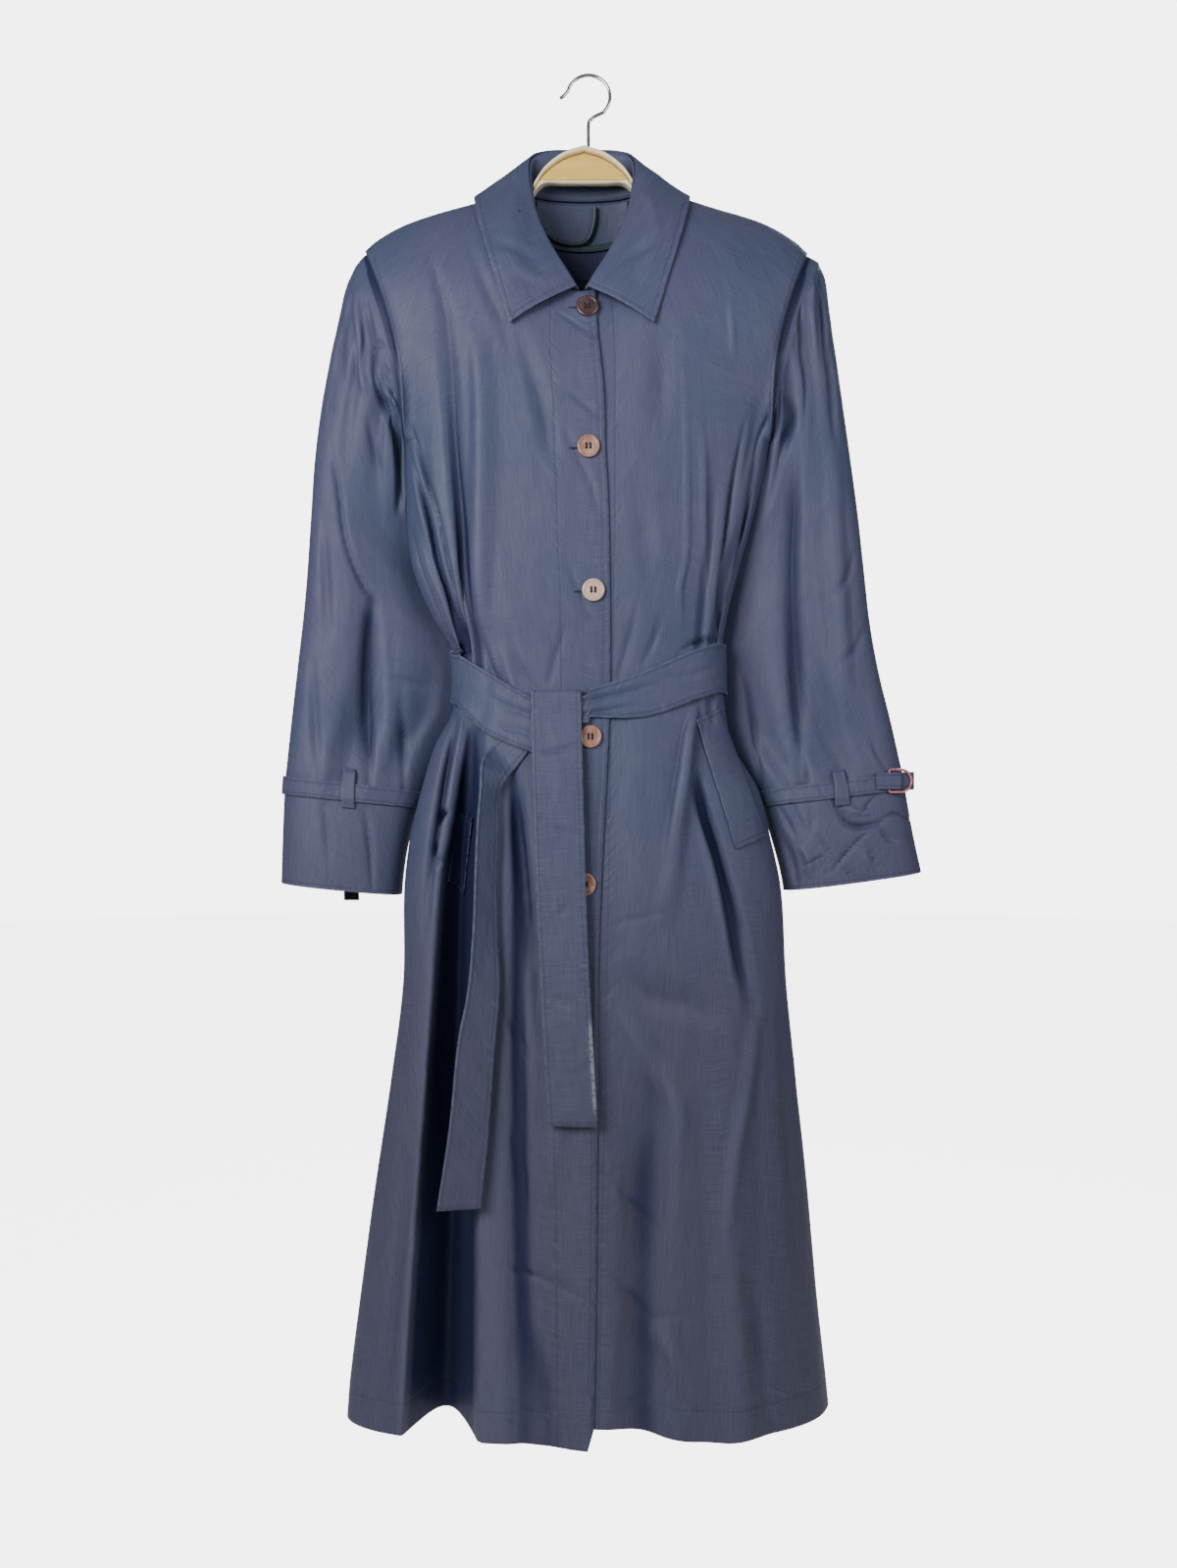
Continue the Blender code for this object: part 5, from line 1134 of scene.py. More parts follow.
standCore = np.array([coat["neckCentre"], 0.0, -150.0])
fallCore = np.array([coat["neckCentre"], 0.0, -200.0])
fallCreases = dict(
    rightSoft=(0, (630, 274, 7, 9, 0), (655, 256, 9, 11, 1.6), (686, 232, 8, 9, 0)),
    rightLight=(0, (650, 190, 7), (664, 214, 9, -1.4), (668, 240, 7)),
    leftSoft=(0, (500, 248, 8, 9, 0), (525, 254, 9, 11, 1.6), (552, 272, 8, 9, 0)),
    leftLight=(0, (522, 268, 7), (540, 280, 9, -1.2), (562, 288, 7)),
)


def shapeFall(grid):
    outward = outwardOf(grid, fallCore)
    spots = cutPlaces(grid)
    weight = smooth(away(grid, "first") / calm["fall"])
    grid = pressIn(grid, outward, fallCreases, weight * facingCamera(outward))
    rise = outward * (calm["fallRise"] * weight)[..., None]
    return uneven(grid, outward, spots, waves["fall"], 51, weight) + rise


overEndCreases = dict(
    kneeA=(0.8, (545, 768, 5), (566, 766, 6, 1.2), (592, 759, 5, 0.6)),
    kneeB=(0.8, (548, 834, 5), (570, 846, 6, 1.2), (595, 853, 5, 0.6)),
    kneeC=(0.7, (563, 936, 4), (573, 930, 5, 1), (583, 924, 4)),
    lowerA=(0.7, (556, 1012, 4, 0.5), (572, 1022, 5, 1), (590, 1026, 4)),
    lowerB=(0.7, (605, 1084, 4, 0.8), (594, 1092, 5, 1), (580, 1094, 4)),
)
waistCreases = dict(
    rightFoldA=(0.6, (596, 716, 6, 1.5), (640, 706, 7, 1.4), (684, 694, 6)),
    rightFoldB=(0.8, (594, 728, 5, 1.6), (622, 724, 6, 1.5), (652, 719, 5)),
    rightFoldC=(0.6, (668, 690, 6), (700, 690, 7, 0.9), (732, 678, 5)),
    leftFoldA=(0.6, (544, 730, 6, 1.5), (520, 722, 7, 1.2), (492, 706, 6)),
    leftFoldB=(0.6, (540, 748, 5, 1.2), (520, 742, 6, 1), (498, 728, 5)),
)
strapLeftCreases = dict(
    puckerA=(0.8, (806, 801, 2.5, 0.2), (810, 808, 3, 0.7), (813, 815, 2.5, 0.3)),
    puckerB=(0.8, (819, 799, 2.5, 0.3), (822, 806, 3, 0.8), (826, 814, 2.5, 0.2)),
    puckerC=(0.8, (833, 798, 2.5, 0.3), (836, 805, 3, 0.7), (841, 812, 2.5, 0.3)),
    slantA=(0.9, (880.6, 788, 2.5, 0.4), (884, 795.5, 3, 1.1), (887.3, 803, 2.5, 0.4)),
    slantB=(0.9, (900.7, 789.6, 2.5, 0.4), (903.5, 795.5, 3, 1.1), (906, 801.6, 2.5, 0.4)),
)


def shapeBelt(grid, creases, inside, seed, amount):
    outward = outwardOf(grid, inside)
    spots = cutPlaces(grid)
    grid = pressIn(grid, outward, creases, facingCamera(outward))
    return uneven(grid, outward, spots, (amount, waves["beltSize"]), seed)


sleeveShapes = {-1: shapeSleeve(-1, sleeveRightCreases), 1: shapeSleeve(1, sleeveLeftCreases)}
fallGrid = shapeFall(fallGrid)
waistGrid = shapeBelt(waistGrid, waistCreases, core(waistGrid, belt["core"]), 61, 0.35)
overGrid = shapeBelt(overGrid, overEndCreases, behind(overGrid, 0), 62, 0.25)
underGrid = shapeBelt(underGrid, {}, behind(underGrid, 0), 63, 0.35)

lying = dict(
    right=[waistGrid, overGrid, underGrid, welts["right"], fallGrid],
    left=[waistGrid, welts["left"], fallGrid],
    back=[waistGrid, fallGrid],
)
lyingTrees = {name: [treeOf(grid) for grid in grids] for name, grids in lying.items()}


def finishPanel(grid, trees, room):
    side = cloth["inside"] if grid[..., 1].mean() < 0 else -cloth["inside"]
    return keepUnder(grid, outwardOf(grid, core(grid, side)), trees, room)


underPieces = restOnCoat - 0.1
rightGrid = finishPanel(shapeFront(rightGrid, frontRightCreases, 11), lyingTrees["right"], underPieces)
leftGrid = finishPanel(shapeFront(leftGrid, frontLeftCreases, 15), lyingTrees["left"], underPieces)
lapPart = leftGrid[..., 0] < coat["lapWidth"]
underLap = finishPanel(leftGrid, [treeOf(rightGrid)], cloth["wall"] + cloth["gap"])
leftGrid = np.where(lapPart[..., None], underLap, leftGrid)
backGrid = finishPanel(shapeBack(backGrid), lyingTrees["back"], underPieces)
print("creases and waves laid")


def link(name, data, slot, *nodes):
    piece = bpy.data.objects.new(name, data)
    bpy.context.scene.collection.objects.link(piece)
    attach(piece, "root")
    if nodes:
        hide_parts(*nodes)
    return piece


seamNames = ["seamTwin", "seamDown", "seamDownToo", "seamAcross", "seamAcrossToo"]


def seamFields(grid, seams):
    # One field for each side that has a stitch line: how far off the line a place lies. Where the line
    # stops short the field stays large, with its sign kept, so that no false line shows.
    far = cloth["noSeam"]
    fields = {name: np.full(grid.shape[:2], far) for name in seamNames}
    share = np.linspace(0, 1, grid.shape[0])[:, None]
    for name, side, inset, end in seams:
        off = away(grid, side) - inset
        fields[name] = np.where(share <= end, off, np.where(off < 0, -far, far))
    return fields


def foldOf(grid, outward, ring):  # how far the cloth lies below its own average
    return np.sum((soften(grid, cloth["foldRounds"], ring) - grid) * outward, axis=-1)


def clothPiece(name, grid, inside, wall, nodes=(), seams=(), edgeWearAndHighlight=(), slot="shell", ring=False, deep=0,
               rub=0):
    outward = outwardOf(grid, inside, ring)
    faces = facesOf(grid.shape, ring)
    if np.sum(normalsOf(grid, ring) * outward) < 0:
        faces = faces[:, ::-1]
    mesh = bpy.data.meshes.new(name)
    mesh.from_pydata((grid.reshape(-1, 3) * mm).tolist(), [], faces.tolist())
    mesh.polygons.foreach_set("use_smooth", np.ones(len(faces), bool))
    # Edges of the listed sides are painted lighter: partly wear, partly a painted highlight.
    edge = np.full(grid.shape[:2], cloth["noSeam"])
    for side in edgeWearAndHighlight:
        edge = np.minimum(edge, away(grid, side))
    fields = seamFields(grid, seams)
    # fold also carries deep, a piece's painted shade amount; a negative amount paints the piece lighter.
    fields.update({
        "edgeAway": edge, "fold": foldOf(grid, outward, ring) + deep, "rub": rub + 0 * edge,
        "cutAcross": lengths(grid, 1), "cutDown": lengths(grid, 0),
    })
    for label, values in fields.items():
        layer = mesh.attributes.new(label, "FLOAT", "POINT")
        layer.data.foreach_set("value", values.ravel().astype(np.float32))
    piece = link(name, mesh, slot, *nodes)
    shell = piece.modifiers.new("wall", "SOLIDIFY")
    shell.thickness = wall * mm
    shell.offset = 0
    return piece


stitches = dict(  # how far in from the edge each line is sewn, a stitch's length, a twin line's half width
    lap=5.5, placket=46, edge=5, hem=27, belt=3.5, strap=2.5, cuff=3, welt=4, length=2.9, twin=0.8,
)
yokeShare = coat["yokeRows"] / (coat["yokeRows"] + coat["skirtRows"])


def seam(field, side, name, end=1):  # a stitch line beside an edge, down to a share of the piece
    return field, side, stitches[name], end


frontSeams = [
    seam("seamTwin", "first", "lap"), seam("seamDown", "first", "placket"),
    seam("seamDownToo", "last", "edge", yokeShare), seam("seamAcross", "bottom", "hem"),
]
backSeams = [
    seam("seamDown", "first", "edge", yokeShare), seam("seamDownToo", "last", "edge", yokeShare),
    seam("seamAcross", "bottom", "hem"),
]
bandSeams = [seam("seamDown", "first", "belt"), seam("seamDownToo", "last", "belt")]
endSeams = bandSeams + [seam("seamAcross", "bottom", "belt")]
strapSeams = [seam("seamAcross", "bottom", "strap"), seam("seamAcrossToo", "top", "strap")]
fallSeams = [
    seam("seamDown", "last", "edge"), seam("seamAcross", "top", "edge"),
    seam("seamAcrossToo", "bottom", "edge"),
]
weltSeams = [seam("seamAcross", "bottom", "welt"), seam("seamAcrossToo", "top", "welt")]
liningSeams = [("seamDown", "first", neckInside["seam"], 1)]
shellWall, bandWall, loopWall = cloth["wall"], cloth["band"], 1.0
# Painted shade for the pleat, the sleeve tops under the shoulder edge and the facing; the stand's negative
# value paints it lighter.
shadow = dict(pleat=0.35, sleeve=7, sleeveTo=15, sleeveOver=8, stand=-4, facing=2.3)
rub = dict(start=-950, startOver=14, end=-860, endOver=16, edge=1.4, width=3.6)


# Painted shade amount for the deep pleat, growing with its depth.
def pleatShade(grid):
    return shadow["pleat"] * np.maximum(0, foldDepth(frontFolds, grid[..., 0], grid[..., 2]))


def rubbedEnd(grid):  # the pale rubbed stretch of the over end's left edge
    height = grid[..., 2]
    along = smooth((height - rub["start"]) / rub["startOver"])
    along = along * smooth((rub["end"] - height) / rub["endOver"])
    return along * smooth(rub["edge"] - away(grid, "last") / rub["width"])


def middleOf(grid):
    return grid.mean(axis=1, keepdims=True)


def makeSide(side, label):  # sleeve, strap, loop and pocket welt of one side
    made = []
    title = label.capitalize()
    grid = sleeveShapes[side]
    # Painted shade on the sleeve's top, just under the shoulder edge.
    deep = shadow["sleeve"] * smooth((shadow["sleeveTo"] - lengths(grid, 0)) / shadow["sleeveOver"])
    made.append(clothPiece(
        "coat" + title + "Sleeve", grid, middleOf(grid), shellWall, ["sleeve_" + label],
        [seam("seamAcross", "bottom", "cuff")], ["bottom"], ring=True, deep=deep))
    strap = strapGrid(side)
    if side > 0:
        outward = outwardOf(strap, middleOf(strap), ring=True)
        strap = pressIn(strap, outward, strapLeftCreases, facingCamera(outward))
    made.append(clothPiece(
        "cuff" + title + "Strap", strap, middleOf(strap), bandWall, ["cuff_strap_" + label],
        strapSeams, ["top", "bottom"], ring=True))
    loop = strapLoopGrid(side)
    made.append(clothPiece(
        "cuff" + title + "Loop", loop, behind(loop), loopWall, ["strap_loop_" + label],
        edgeWearAndHighlight=["first", "last"]))
    grid = welts[label]
    made.append(clothPiece(
        "pocket" + title + "Welt", grid, behind(grid), shellWall, ["welt_" + label],
        weltSeams, ["bottom", "first"], deep=pleatShade(grid)))
    return made


def makeCloth():
    made = [
        clothPiece("coatRightFront", rightGrid, behind(rightGrid), shellWall,
                   ["front_right", "skirt_front_right"], frontSeams, ["first", "bottom"],
                   deep=pleatShade(rightGrid)),
        clothPiece("coatLeftFront", leftGrid, behind(leftGrid), shellWall,
                   ["front_left", "skirt_front_left"], frontSeams, ["first", "bottom"]),
        clothPiece("coatBack", backGrid, behind(backGrid, -cloth["inside"]), shellWall,
                   ["back", "skirt_back"], backSeams, ["bottom"]),
    ]
    made += makeSide(-1, "right") + makeSide(1, "left")
    made += [
        clothPiece("collarStand", standGrid, standCore, bandWall, ["collar_stand"], deep=shadow["stand"]),
        clothPiece("collarFall", fallGrid, fallCore, bandWall, ["collar_fall"], fallSeams,
                   ["last", "top", "bottom"]),
        clothPiece("beltWaist", waistGrid, core(waistGrid, belt["core"]), bandWall, ["belt_waist"],
                   bandSeams, ["first", "last"]),
        clothPiece("beltOverEnd", overGrid, behind(overGrid, 0), bandWall, ["belt_over"], endSeams,
                   ["first", "last", "bottom"], rub=rubbedEnd(overGrid)),
        clothPiece("beltUnderEnd", underGrid, behind(underGrid, 0), bandWall, ["belt_under"], endSeams,
                   ["first", "last", "bottom"]),
        clothPiece("facingBinding", bindingGrid, behind(bindingGrid), shellWall, ["facing_binding"],
                   slot="binding"),
    ]
    made.append(clothPiece(
        "neckFacing", facingGrid, behind(facingGrid), shellWall, ["neck_facing"], deep=shadow["facing"]))
    made.append(clothPiece(
        "backLining", liningGrid, behind(liningGrid), shellWall, ["back_lining"], liningSeams,
        slot="lining"))
    return made


clothMade = makeCloth()
print("cloth pieces made", len(clothMade))


button = dict(
    radius=10.2, rim=9.0, dish=7.7, face=2.5, crown=3.2, edge=1.2, foot=8.4, hole=1.05, holeSpread=1.75,
    holeDepth=1.5, holeEdge=0.25, sectors=72, innerRings=(4.2, 26), outerRings=(4.4, 30), under=(9.4, 0.4),
    thread=0.55, threadHalf=1.3, threadShift=0.32, threadLift=0.05, threadDip=1.1, threadFrom=0.72,
    threadSteps=15,
)
button["profile"] = [
    (0, button["face"] - 0.25), (5.2, button["face"] - 0.05), (button["dish"], button["face"]),
    (8.3, button["crown"]), (button["rim"], button["crown"]), (9.8, button["crown"] - 0.5),
    (button["radius"], button["crown"] - 1.3),
]
buttonhole = dict(
    shift=-6.2, drop=1.4, half=11.2, room=0.75, lift=0.75, thread=0.42, steps=56, slit=0.9, slitSteps=30,
    square=(0.4, 0.7),
)
lapPanel = Panel(rightGrid, -1)
hanger = dict(
    centre=-4, reach=188, depth=12, rim=6, rimReach=47, rimDepth=15, steps=180, wire=1.6, hookRadius=20,
    groove=0.9, spread=1.2, rimSteps=90, square=(0.42, 0.6), corners=40, strip=-98.2,
    hookTurn=(165, -48, 22), hookSteps=160,
)
hookTip = [(-26.4, 0, -20), (-23.5, 0, -18)]
hookNeck = [(6.5, 0, -36.5), (2.5, 0, -39.5), (0, 0, -44), (0, 0, -66.2)]
hangerRows = table("reach top bottom", [
    (0, -71.4, -101), (19, -77.8, -101), (36, -90.5, -101), (45, -103.5, -108),
    (50, -113, -119), (54, -117, -126), (62, -118.5, -132), (100, -126, -143),
    (138, -136, -154), (164, -145.5, -162), (180, -154, -169), (187, -162, -168),
])
ring = dict(
    left=274.5, straight=11, half=10.2, wire=1.25, height=-656.5, front=-29.2, slant=0.2, foldFrom=262,
    foldTo=285, foldHalf=7.6, endTo=298.5, endHalf=8.2, endUnder=8, room=0.15, flat=-31.9, flatRise=0.4,
    flatOver=12, foldSlope=0.22, endRoom=0.3, inside=20.0, rows=14, foldColumns=24, endColumns=20, bend=40,
    bendFrom=0.1,
)
tab = dict(
    wall=1.1, rows=40, columns=14, inset=0.3, foot=0.4, sway=0.25, bends=5, lean=0.2, curl=0.22, curlSize=5,
    shift=0.6, inside=40,
)
loop = dict(wire=1.9, steps=70, rounds=6)
loopLine = [
    (6.5, -112), (6, -124), (2, -138), (-6, -145.5), (-23, -145.5), (-35, -141), (-44, -134), (-50, -125),
    (-53, -114),
]


def meshOf(name, grid):  # a closed body from rings of points
    faces = facesOf(grid.shape, True)
    mesh = bpy.data.meshes.new(name)
    mesh.from_pydata((grid.reshape(-1, 3) * mm).tolist(), [], faces.tolist())
    form = bmesh.new()
    form.from_mesh(mesh)
    bmesh.ops.remove_doubles(form, verts=form.verts, dist=0.00001)
    bmesh.ops.holes_fill(form, edges=[edge for edge in form.edges if edge.is_boundary])
    bmesh.ops.recalc_face_normals(form, faces=form.faces)
    form.to_mesh(mesh)
    form.free()
    mesh.shade_smooth()
    return mesh


def tube(name, points, radius, cyclic=False, sides=8):
    curve = bpy.data.curves.new(name, "CURVE")
    curve.dimensions = "3D"
    curve.bevel_depth = 1
    curve.bevel_resolution = sides
    curve.use_fill_caps = True
    line = curve.splines.new("POLY")
    line.points.add(len(points) - 1)
    line.points.foreach_set("co", np.column_stack([np.array(points) * mm, np.ones(len(points))]).ravel())
    line.points.foreach_set("radius", np.full(len(points), radius * mm))
    line.use_cyclic_u = cyclic
    line.use_smooth = True
    return curve


def nodeFrame(name):  # the middle of a flat node's underside, and the way that it faces
    spots = np.array([v.co[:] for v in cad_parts[name].data.vertices]) / mm
    middle = (spots.min(0) + spots.max(0)) / 2
    way = np.linalg.svd(spots - spots.mean(0))[2][2]
    way = way if way[1] < 0 else -way
    foot = spots.mean(0) + way * ((spots - spots.mean(0)) @ way).min()
    return foot + (middle - foot) - way * ((middle - foot) @ way), way


def buttonHeight(radius, x, y):
    height = curveThrough(*np.array(button["profile"]).T, radius)
    for sideX in (-1, 1):
        for sideY in (-1, 1):
            off = np.hypot(x - sideX * button["holeSpread"], y - sideY * button["holeSpread"])
            within = (button["hole"] + button["holeEdge"] - off) / (2 * button["holeEdge"])
            height = height - button["holeDepth"] * smooth(within)
    return height


def makeButton(number):
    name = "button_" + str(number)
    foot, way = nodeFrame(name)
    turn = circle(button["sectors"])
    (inner, innerCount), (outer, outerCount) = button["innerRings"], button["outerRings"]
    radii = np.linspace(0, inner, innerCount), np.linspace(outer, button["radius"], outerCount)
    radii = np.concatenate(radii)[:, None]
    x, y = radii * np.cos(turn), radii * np.sin(turn)
    top = point(x, y, buttonHeight(np.broadcast_to(radii, x.shape), x, y))
    low = []
    for radius, height in ((button["radius"], button["edge"]), button["under"], (button["foot"], 0), (0, 0)):
        low.append(point(radius * np.cos(turn), radius * np.sin(turn), height))
    grid = np.concatenate([top, np.array(low)])
    side = unit(np.cross([0, 0, 1.0], way))
    up = np.cross(way, side)
    grid = foot + grid[..., :1] * side + grid[..., 1:2] * up + grid[..., 2:] * way
    piece = link("coatButton" + str(number), meshOf(name, grid), "button", name)
    threads = []
    for sideX in (-1, 1):
        for shift in (-button["threadShift"], button["threadShift"]):
            bar = []
            middle = foot + side * (sideX * button["holeSpread"] + shift)
            for t in np.linspace(-1, 1, button["threadSteps"]):
                dip = smooth((abs(t) - button["threadFrom"]) / (1 - button["threadFrom"]))
                height = button["face"] + button["threadLift"] - button["threadDip"] * dip
                bar.append(middle + up * (t * button["threadHalf"] * button["holeSpread"]) + way * height)
            label = "buttonThread" + str(number) + "_" + str(len(threads) + 1)
            threads.append(link(label, tube(label, bar, button["thread"], sides=4), "button"))
    return piece, threads


def makeButtonhole(number):  # worked edges round a dark slit, under the button
    foot = nodeFrame("button_" + str(number))[0]
    x, z = foot[0] + buttonhole["shift"], foot[2] - buttonhole["drop"]
    turn = circle(buttonhole["steps"])
    flatness, roundness = buttonhole["square"]
    across = power(np.cos(turn), flatness) * buttonhole["half"]
    up = power(np.sin(turn), roundness) * buttonhole["room"]
    edge = [onPanel(lapPanel, x + a, z + b, buttonhole["lift"]) for a, b in zip(across, up)]
    # The slit is a near-black tube laid on the cloth: painted shade where the opening lies.
    slit = buttonhole["slit"]
    across = np.linspace(-slit, slit, buttonhole["slitSteps"]) * buttonhole["half"]
    slit = [onPanel(lapPanel, x + a, z, buttonhole["lift"]) for a in across]
    pieces = []
    for label, line, closed in (("Edge", edge, True), ("SlitShade", slit, False)):
        name = "buttonhole" + label + str(number)
        pieces.append(link(name, tube(name, line, buttonhole["thread"], cyclic=closed, sides=4), "shell"))
    return pieces


def ringDepth(x):
    return ring["front"] + ring["slant"] * (x - ring["left"])


def makeRing():
    half, left = ring["half"], ring["left"]
    points = [(0.0, up) for up in np.linspace(1 - half, half - 1, 12)]
    points += [(across, half) for across in np.linspace(1, ring["straight"], 8)]
    turns = np.linspace(ring["bendFrom"], math.pi - ring["bendFrom"], ring["bend"])
    points += [(ring["straight"] + half * math.sin(turn), half * math.cos(turn)) for turn in turns]
    points += [(across, -half) for across in np.linspace(ring["straight"], 1, 8)]
    points = [(left + across, ringDepth(left + across), ring["height"] + up) for across, up in points]
    return link("cuffRing", tube("cuffRing", points, ring["wire"], cyclic=True), "ring", "strap_ring_left")


def strapPart(name, x, y, half):
    heights = np.linspace(1, -1, ring["rows"]) * half
    grid = np.array([point(x, y, ring["height"] + up + 0 * x) for up in heights])
    return clothPiece(name, grid, behind(grid, ring["inside"]), bandWall, (), strapSeams,
                      ["top", "bottom", "last"])


def makeStrapEnds():  # the strap folded over the ring's bar, and its end drawn through the ring
    layer = ring["wire"] + bandWall / 2 + ring["room"]
    x = np.linspace(ring["foldFrom"], ring["foldTo"], ring["foldColumns"])
    flat = ring["flat"] + ring["flatRise"] * smooth((ring["left"] - x) / ring["flatOver"])
    bent = np.minimum(ringDepth(x) - layer, flat + ring["foldSlope"] * (x - ring["left"]))
    fold = strapPart("cuffStrapFold", x, np.where(x < ring["left"], flat, bent), ring["foldHalf"])
    x = np.linspace(ring["foldTo"] - ring["endUnder"], ring["endTo"], ring["endColumns"])
    return fold, strapPart("cuffStrapEnd", x, ringDepth(x) + layer + ring["endRoom"], ring["endHalf"])


def makeTab():
    low, high = (np.array(corner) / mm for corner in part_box("sleeve_tab_right"))
    middle = (low + high) / 2
    rows = []
    for t in np.linspace(0, 1, tab["rows"]):
        z = blend(high[2], low[2] + tab["foot"], t)
        sway = tab["sway"] * math.sin(tab["bends"] * t) - tab["lean"] * t
        x = np.linspace(low[0] + tab["inset"], high[0] - tab["inset"], tab["columns"])
        curl = tab["curl"] * np.cos((x - middle[0]) / tab["curlSize"])
        rows.append(point(x + tab["shift"] * t, middle[1] + sway * curl, z))
    return clothPiece("cuffTab", np.array(rows), middle + [0, tab["inside"], 0], tab["wall"],
                      ["sleeve_tab_right"], edgeWearAndHighlight=["first", "last"], slot="tab")


def makeLoop():
    lift = 2 * neckInside["rest"] - cloth["wall"] / 2 - cloth["gap"] - loop["wire"]
    points = np.array([onPanel(backPanel, x, z, lift) for x, z in through(loopLine, loop["steps"])])
    for _ in range(loop["rounds"]):
        points[1:-1] = (points[:-2] + 2 * points[1:-1] + points[2:]) / 4
    return link("neckLoop", tube("neckLoop", points, loop["wire"]), "binding", "hanger_loop")


def flatBody(name, reach, top, bottom, depth):
    # A flat wooden piece between two lines, its edges rounded over.
    turn = circle(hanger["corners"])
    middle, half = (top + bottom) / 2, (top - bottom) / 2
    across, up = (power(way(turn), bend) for way, bend in zip((np.cos, np.sin), hanger["square"]))
    grid = point(reach[:, None], across[None] * depth / 2, middle[:, None] + up[None] * half[:, None])
    return meshOf(name, grid)


def makeHanger():
    share = np.linspace(-1, 1, hanger["steps"] + 1)
    reach = hanger["reach"] * power(share, hanger["spread"])
    top = curveThrough(hangerRows["reach"], hangerRows["top"], np.abs(reach))
    bottom = curveThrough(hangerRows["reach"], hangerRows["bottom"], np.abs(reach))
    body = flatBody("hangerBody", reach + hanger["centre"], top - hanger["groove"], bottom, hanger["depth"])
    body = link("hangerBody", body, "hanger_wood", "hanger_body")
    near = np.linspace(-hanger["rimReach"], hanger["rimReach"], hanger["rimSteps"])
    line = curveThrough(hangerRows["reach"], hangerRows["top"], np.abs(near))
    top, bottom = line + hanger["rim"] - cloth["gap"], line + cloth["gap"]
    rim = flatBody("hangerRim", near + hanger["centre"], top, bottom, hanger["rimDepth"])
    rim = link("hangerRim", rim, "hanger_rim", "hanger_rim")
    return body, rim


def makeHook():
    centre = np.array([0, 0, hanger["wire"] - hanger["hookRadius"]])
    angles = np.radians(np.linspace(*hanger["hookTurn"]))
    bend = [tuple(centre + np.array([math.cos(a), 0, math.sin(a)]) * hanger["hookRadius"]) for a in angles]
    points = through(hookTip + bend + hookNeck, hanger["hookSteps"])
    return link("hangerHook", tube("hangerHook", points, hanger["wire"], sides=10), "hook", "hanger_hook")


buttonNumbers = range(1, 6)
buttons = [makeButton(number) for number in buttonNumbers]
cuffRing, cuffTab, neckLoop = makeRing(), makeTab(), makeLoop()
strapEnds = makeStrapEnds()
buttonholes = [makeButtonhole(number) for number in buttonNumbers]
hangerBody, hangerRim = makeHanger()
hangerHook = makeHook()
print("buttons, ring, tab and hanger made")


colours = dict(
    # The first colour here is painted shade: the lower skirt's darker, greyer ground, where the light falls
    # off.
    hemShade=(0.056, 0.054, 0.097), violet=(0.062, 0.065, 0.131), teal=(0.039, 0.063, 0.122),
    # deep is a painted shade colour, for folds, pleats, shaded places and stitch grooves.
    # light is the pale tone of slubs and edge wear, and also a painted highlight on crests, puckers and
    # edges.
    deep=(0.003, 0.007, 0.046), light=(0.17, 0.18, 0.28), thread=(0.09, 0.10, 0.17),
    rubbed=(0.42, 0.45, 0.50), sheen=(0.62, 0.70, 0.95), lining=(0.006, 0.010, 0.052),
    # The near-black colour here is button thread and the lining's seam line, and painted shade for the
    # buttonhole slits and the strap end behind the cuff.
    binding=(0.008, 0.026, 0.034), nearBlack=(0.008, 0.008, 0.010), holeThread=(0.030, 0.034, 0.072),
    copper=(0.30, 0.135, 0.095), copperDeep=(0.15, 0.05, 0.035), cream=(0.47, 0.27, 0.215),
    palePink=(0.74, 0.50, 0.42), paleCream=(0.62, 0.40, 0.33), darkButton=(0.045, 0.022, 0.03),
    plum=(0.10, 0.045, 0.05), rose=(0.40, 0.085, 0.12), roseLight=(0.55, 0.19, 0.21),
    woodPale=(0.92, 0.62, 0.16), woodDeep=(0.66, 0.38, 0.08), rim=(0.98, 0.88, 0.58),
    steel=(0.72, 0.72, 0.74), steelDull=(0.5, 0.5, 0.52), floor=(0.80, 0.80, 0.80),
)


class Wire:  # a socket that takes part in sums
    def __init__(self, shade, socket):
        self.shade, self.socket = shade, socket

    def sum(self, operation, *others):
        return self.shade.add("Math", {"operation": operation}, [self, *others])

    def __add__(self, other):
        return self.sum("ADD", other)

    def __sub__(self, other):
        return self.sum("SUBTRACT", other)

    def __rsub__(self, other):
        return self.shade.add("Math", {"operation": "SUBTRACT"}, [other, self])

    def __mul__(self, other):
        return self.sum("MULTIPLY", other)

    def __truediv__(self, other):
        return self.sum("DIVIDE", other)

    __radd__, __rmul__ = __add__, __mul__

    def __abs__(self):
        return self.sum("ABSOLUTE")

    def ramp(self, *levels):  # from low to high, and the values there
        return self.shade.add("MapRange", {"interpolation_type": "SMOOTHSTEP"}, [self, *levels])

    def below(self, low, high):  # 1 under low, 0 over high, smooth between
        return self.ramp(low, high, 1.0, 0.0)

    def above(self, low, high):
        return self.ramp(low, high, 0.0, 1.0)


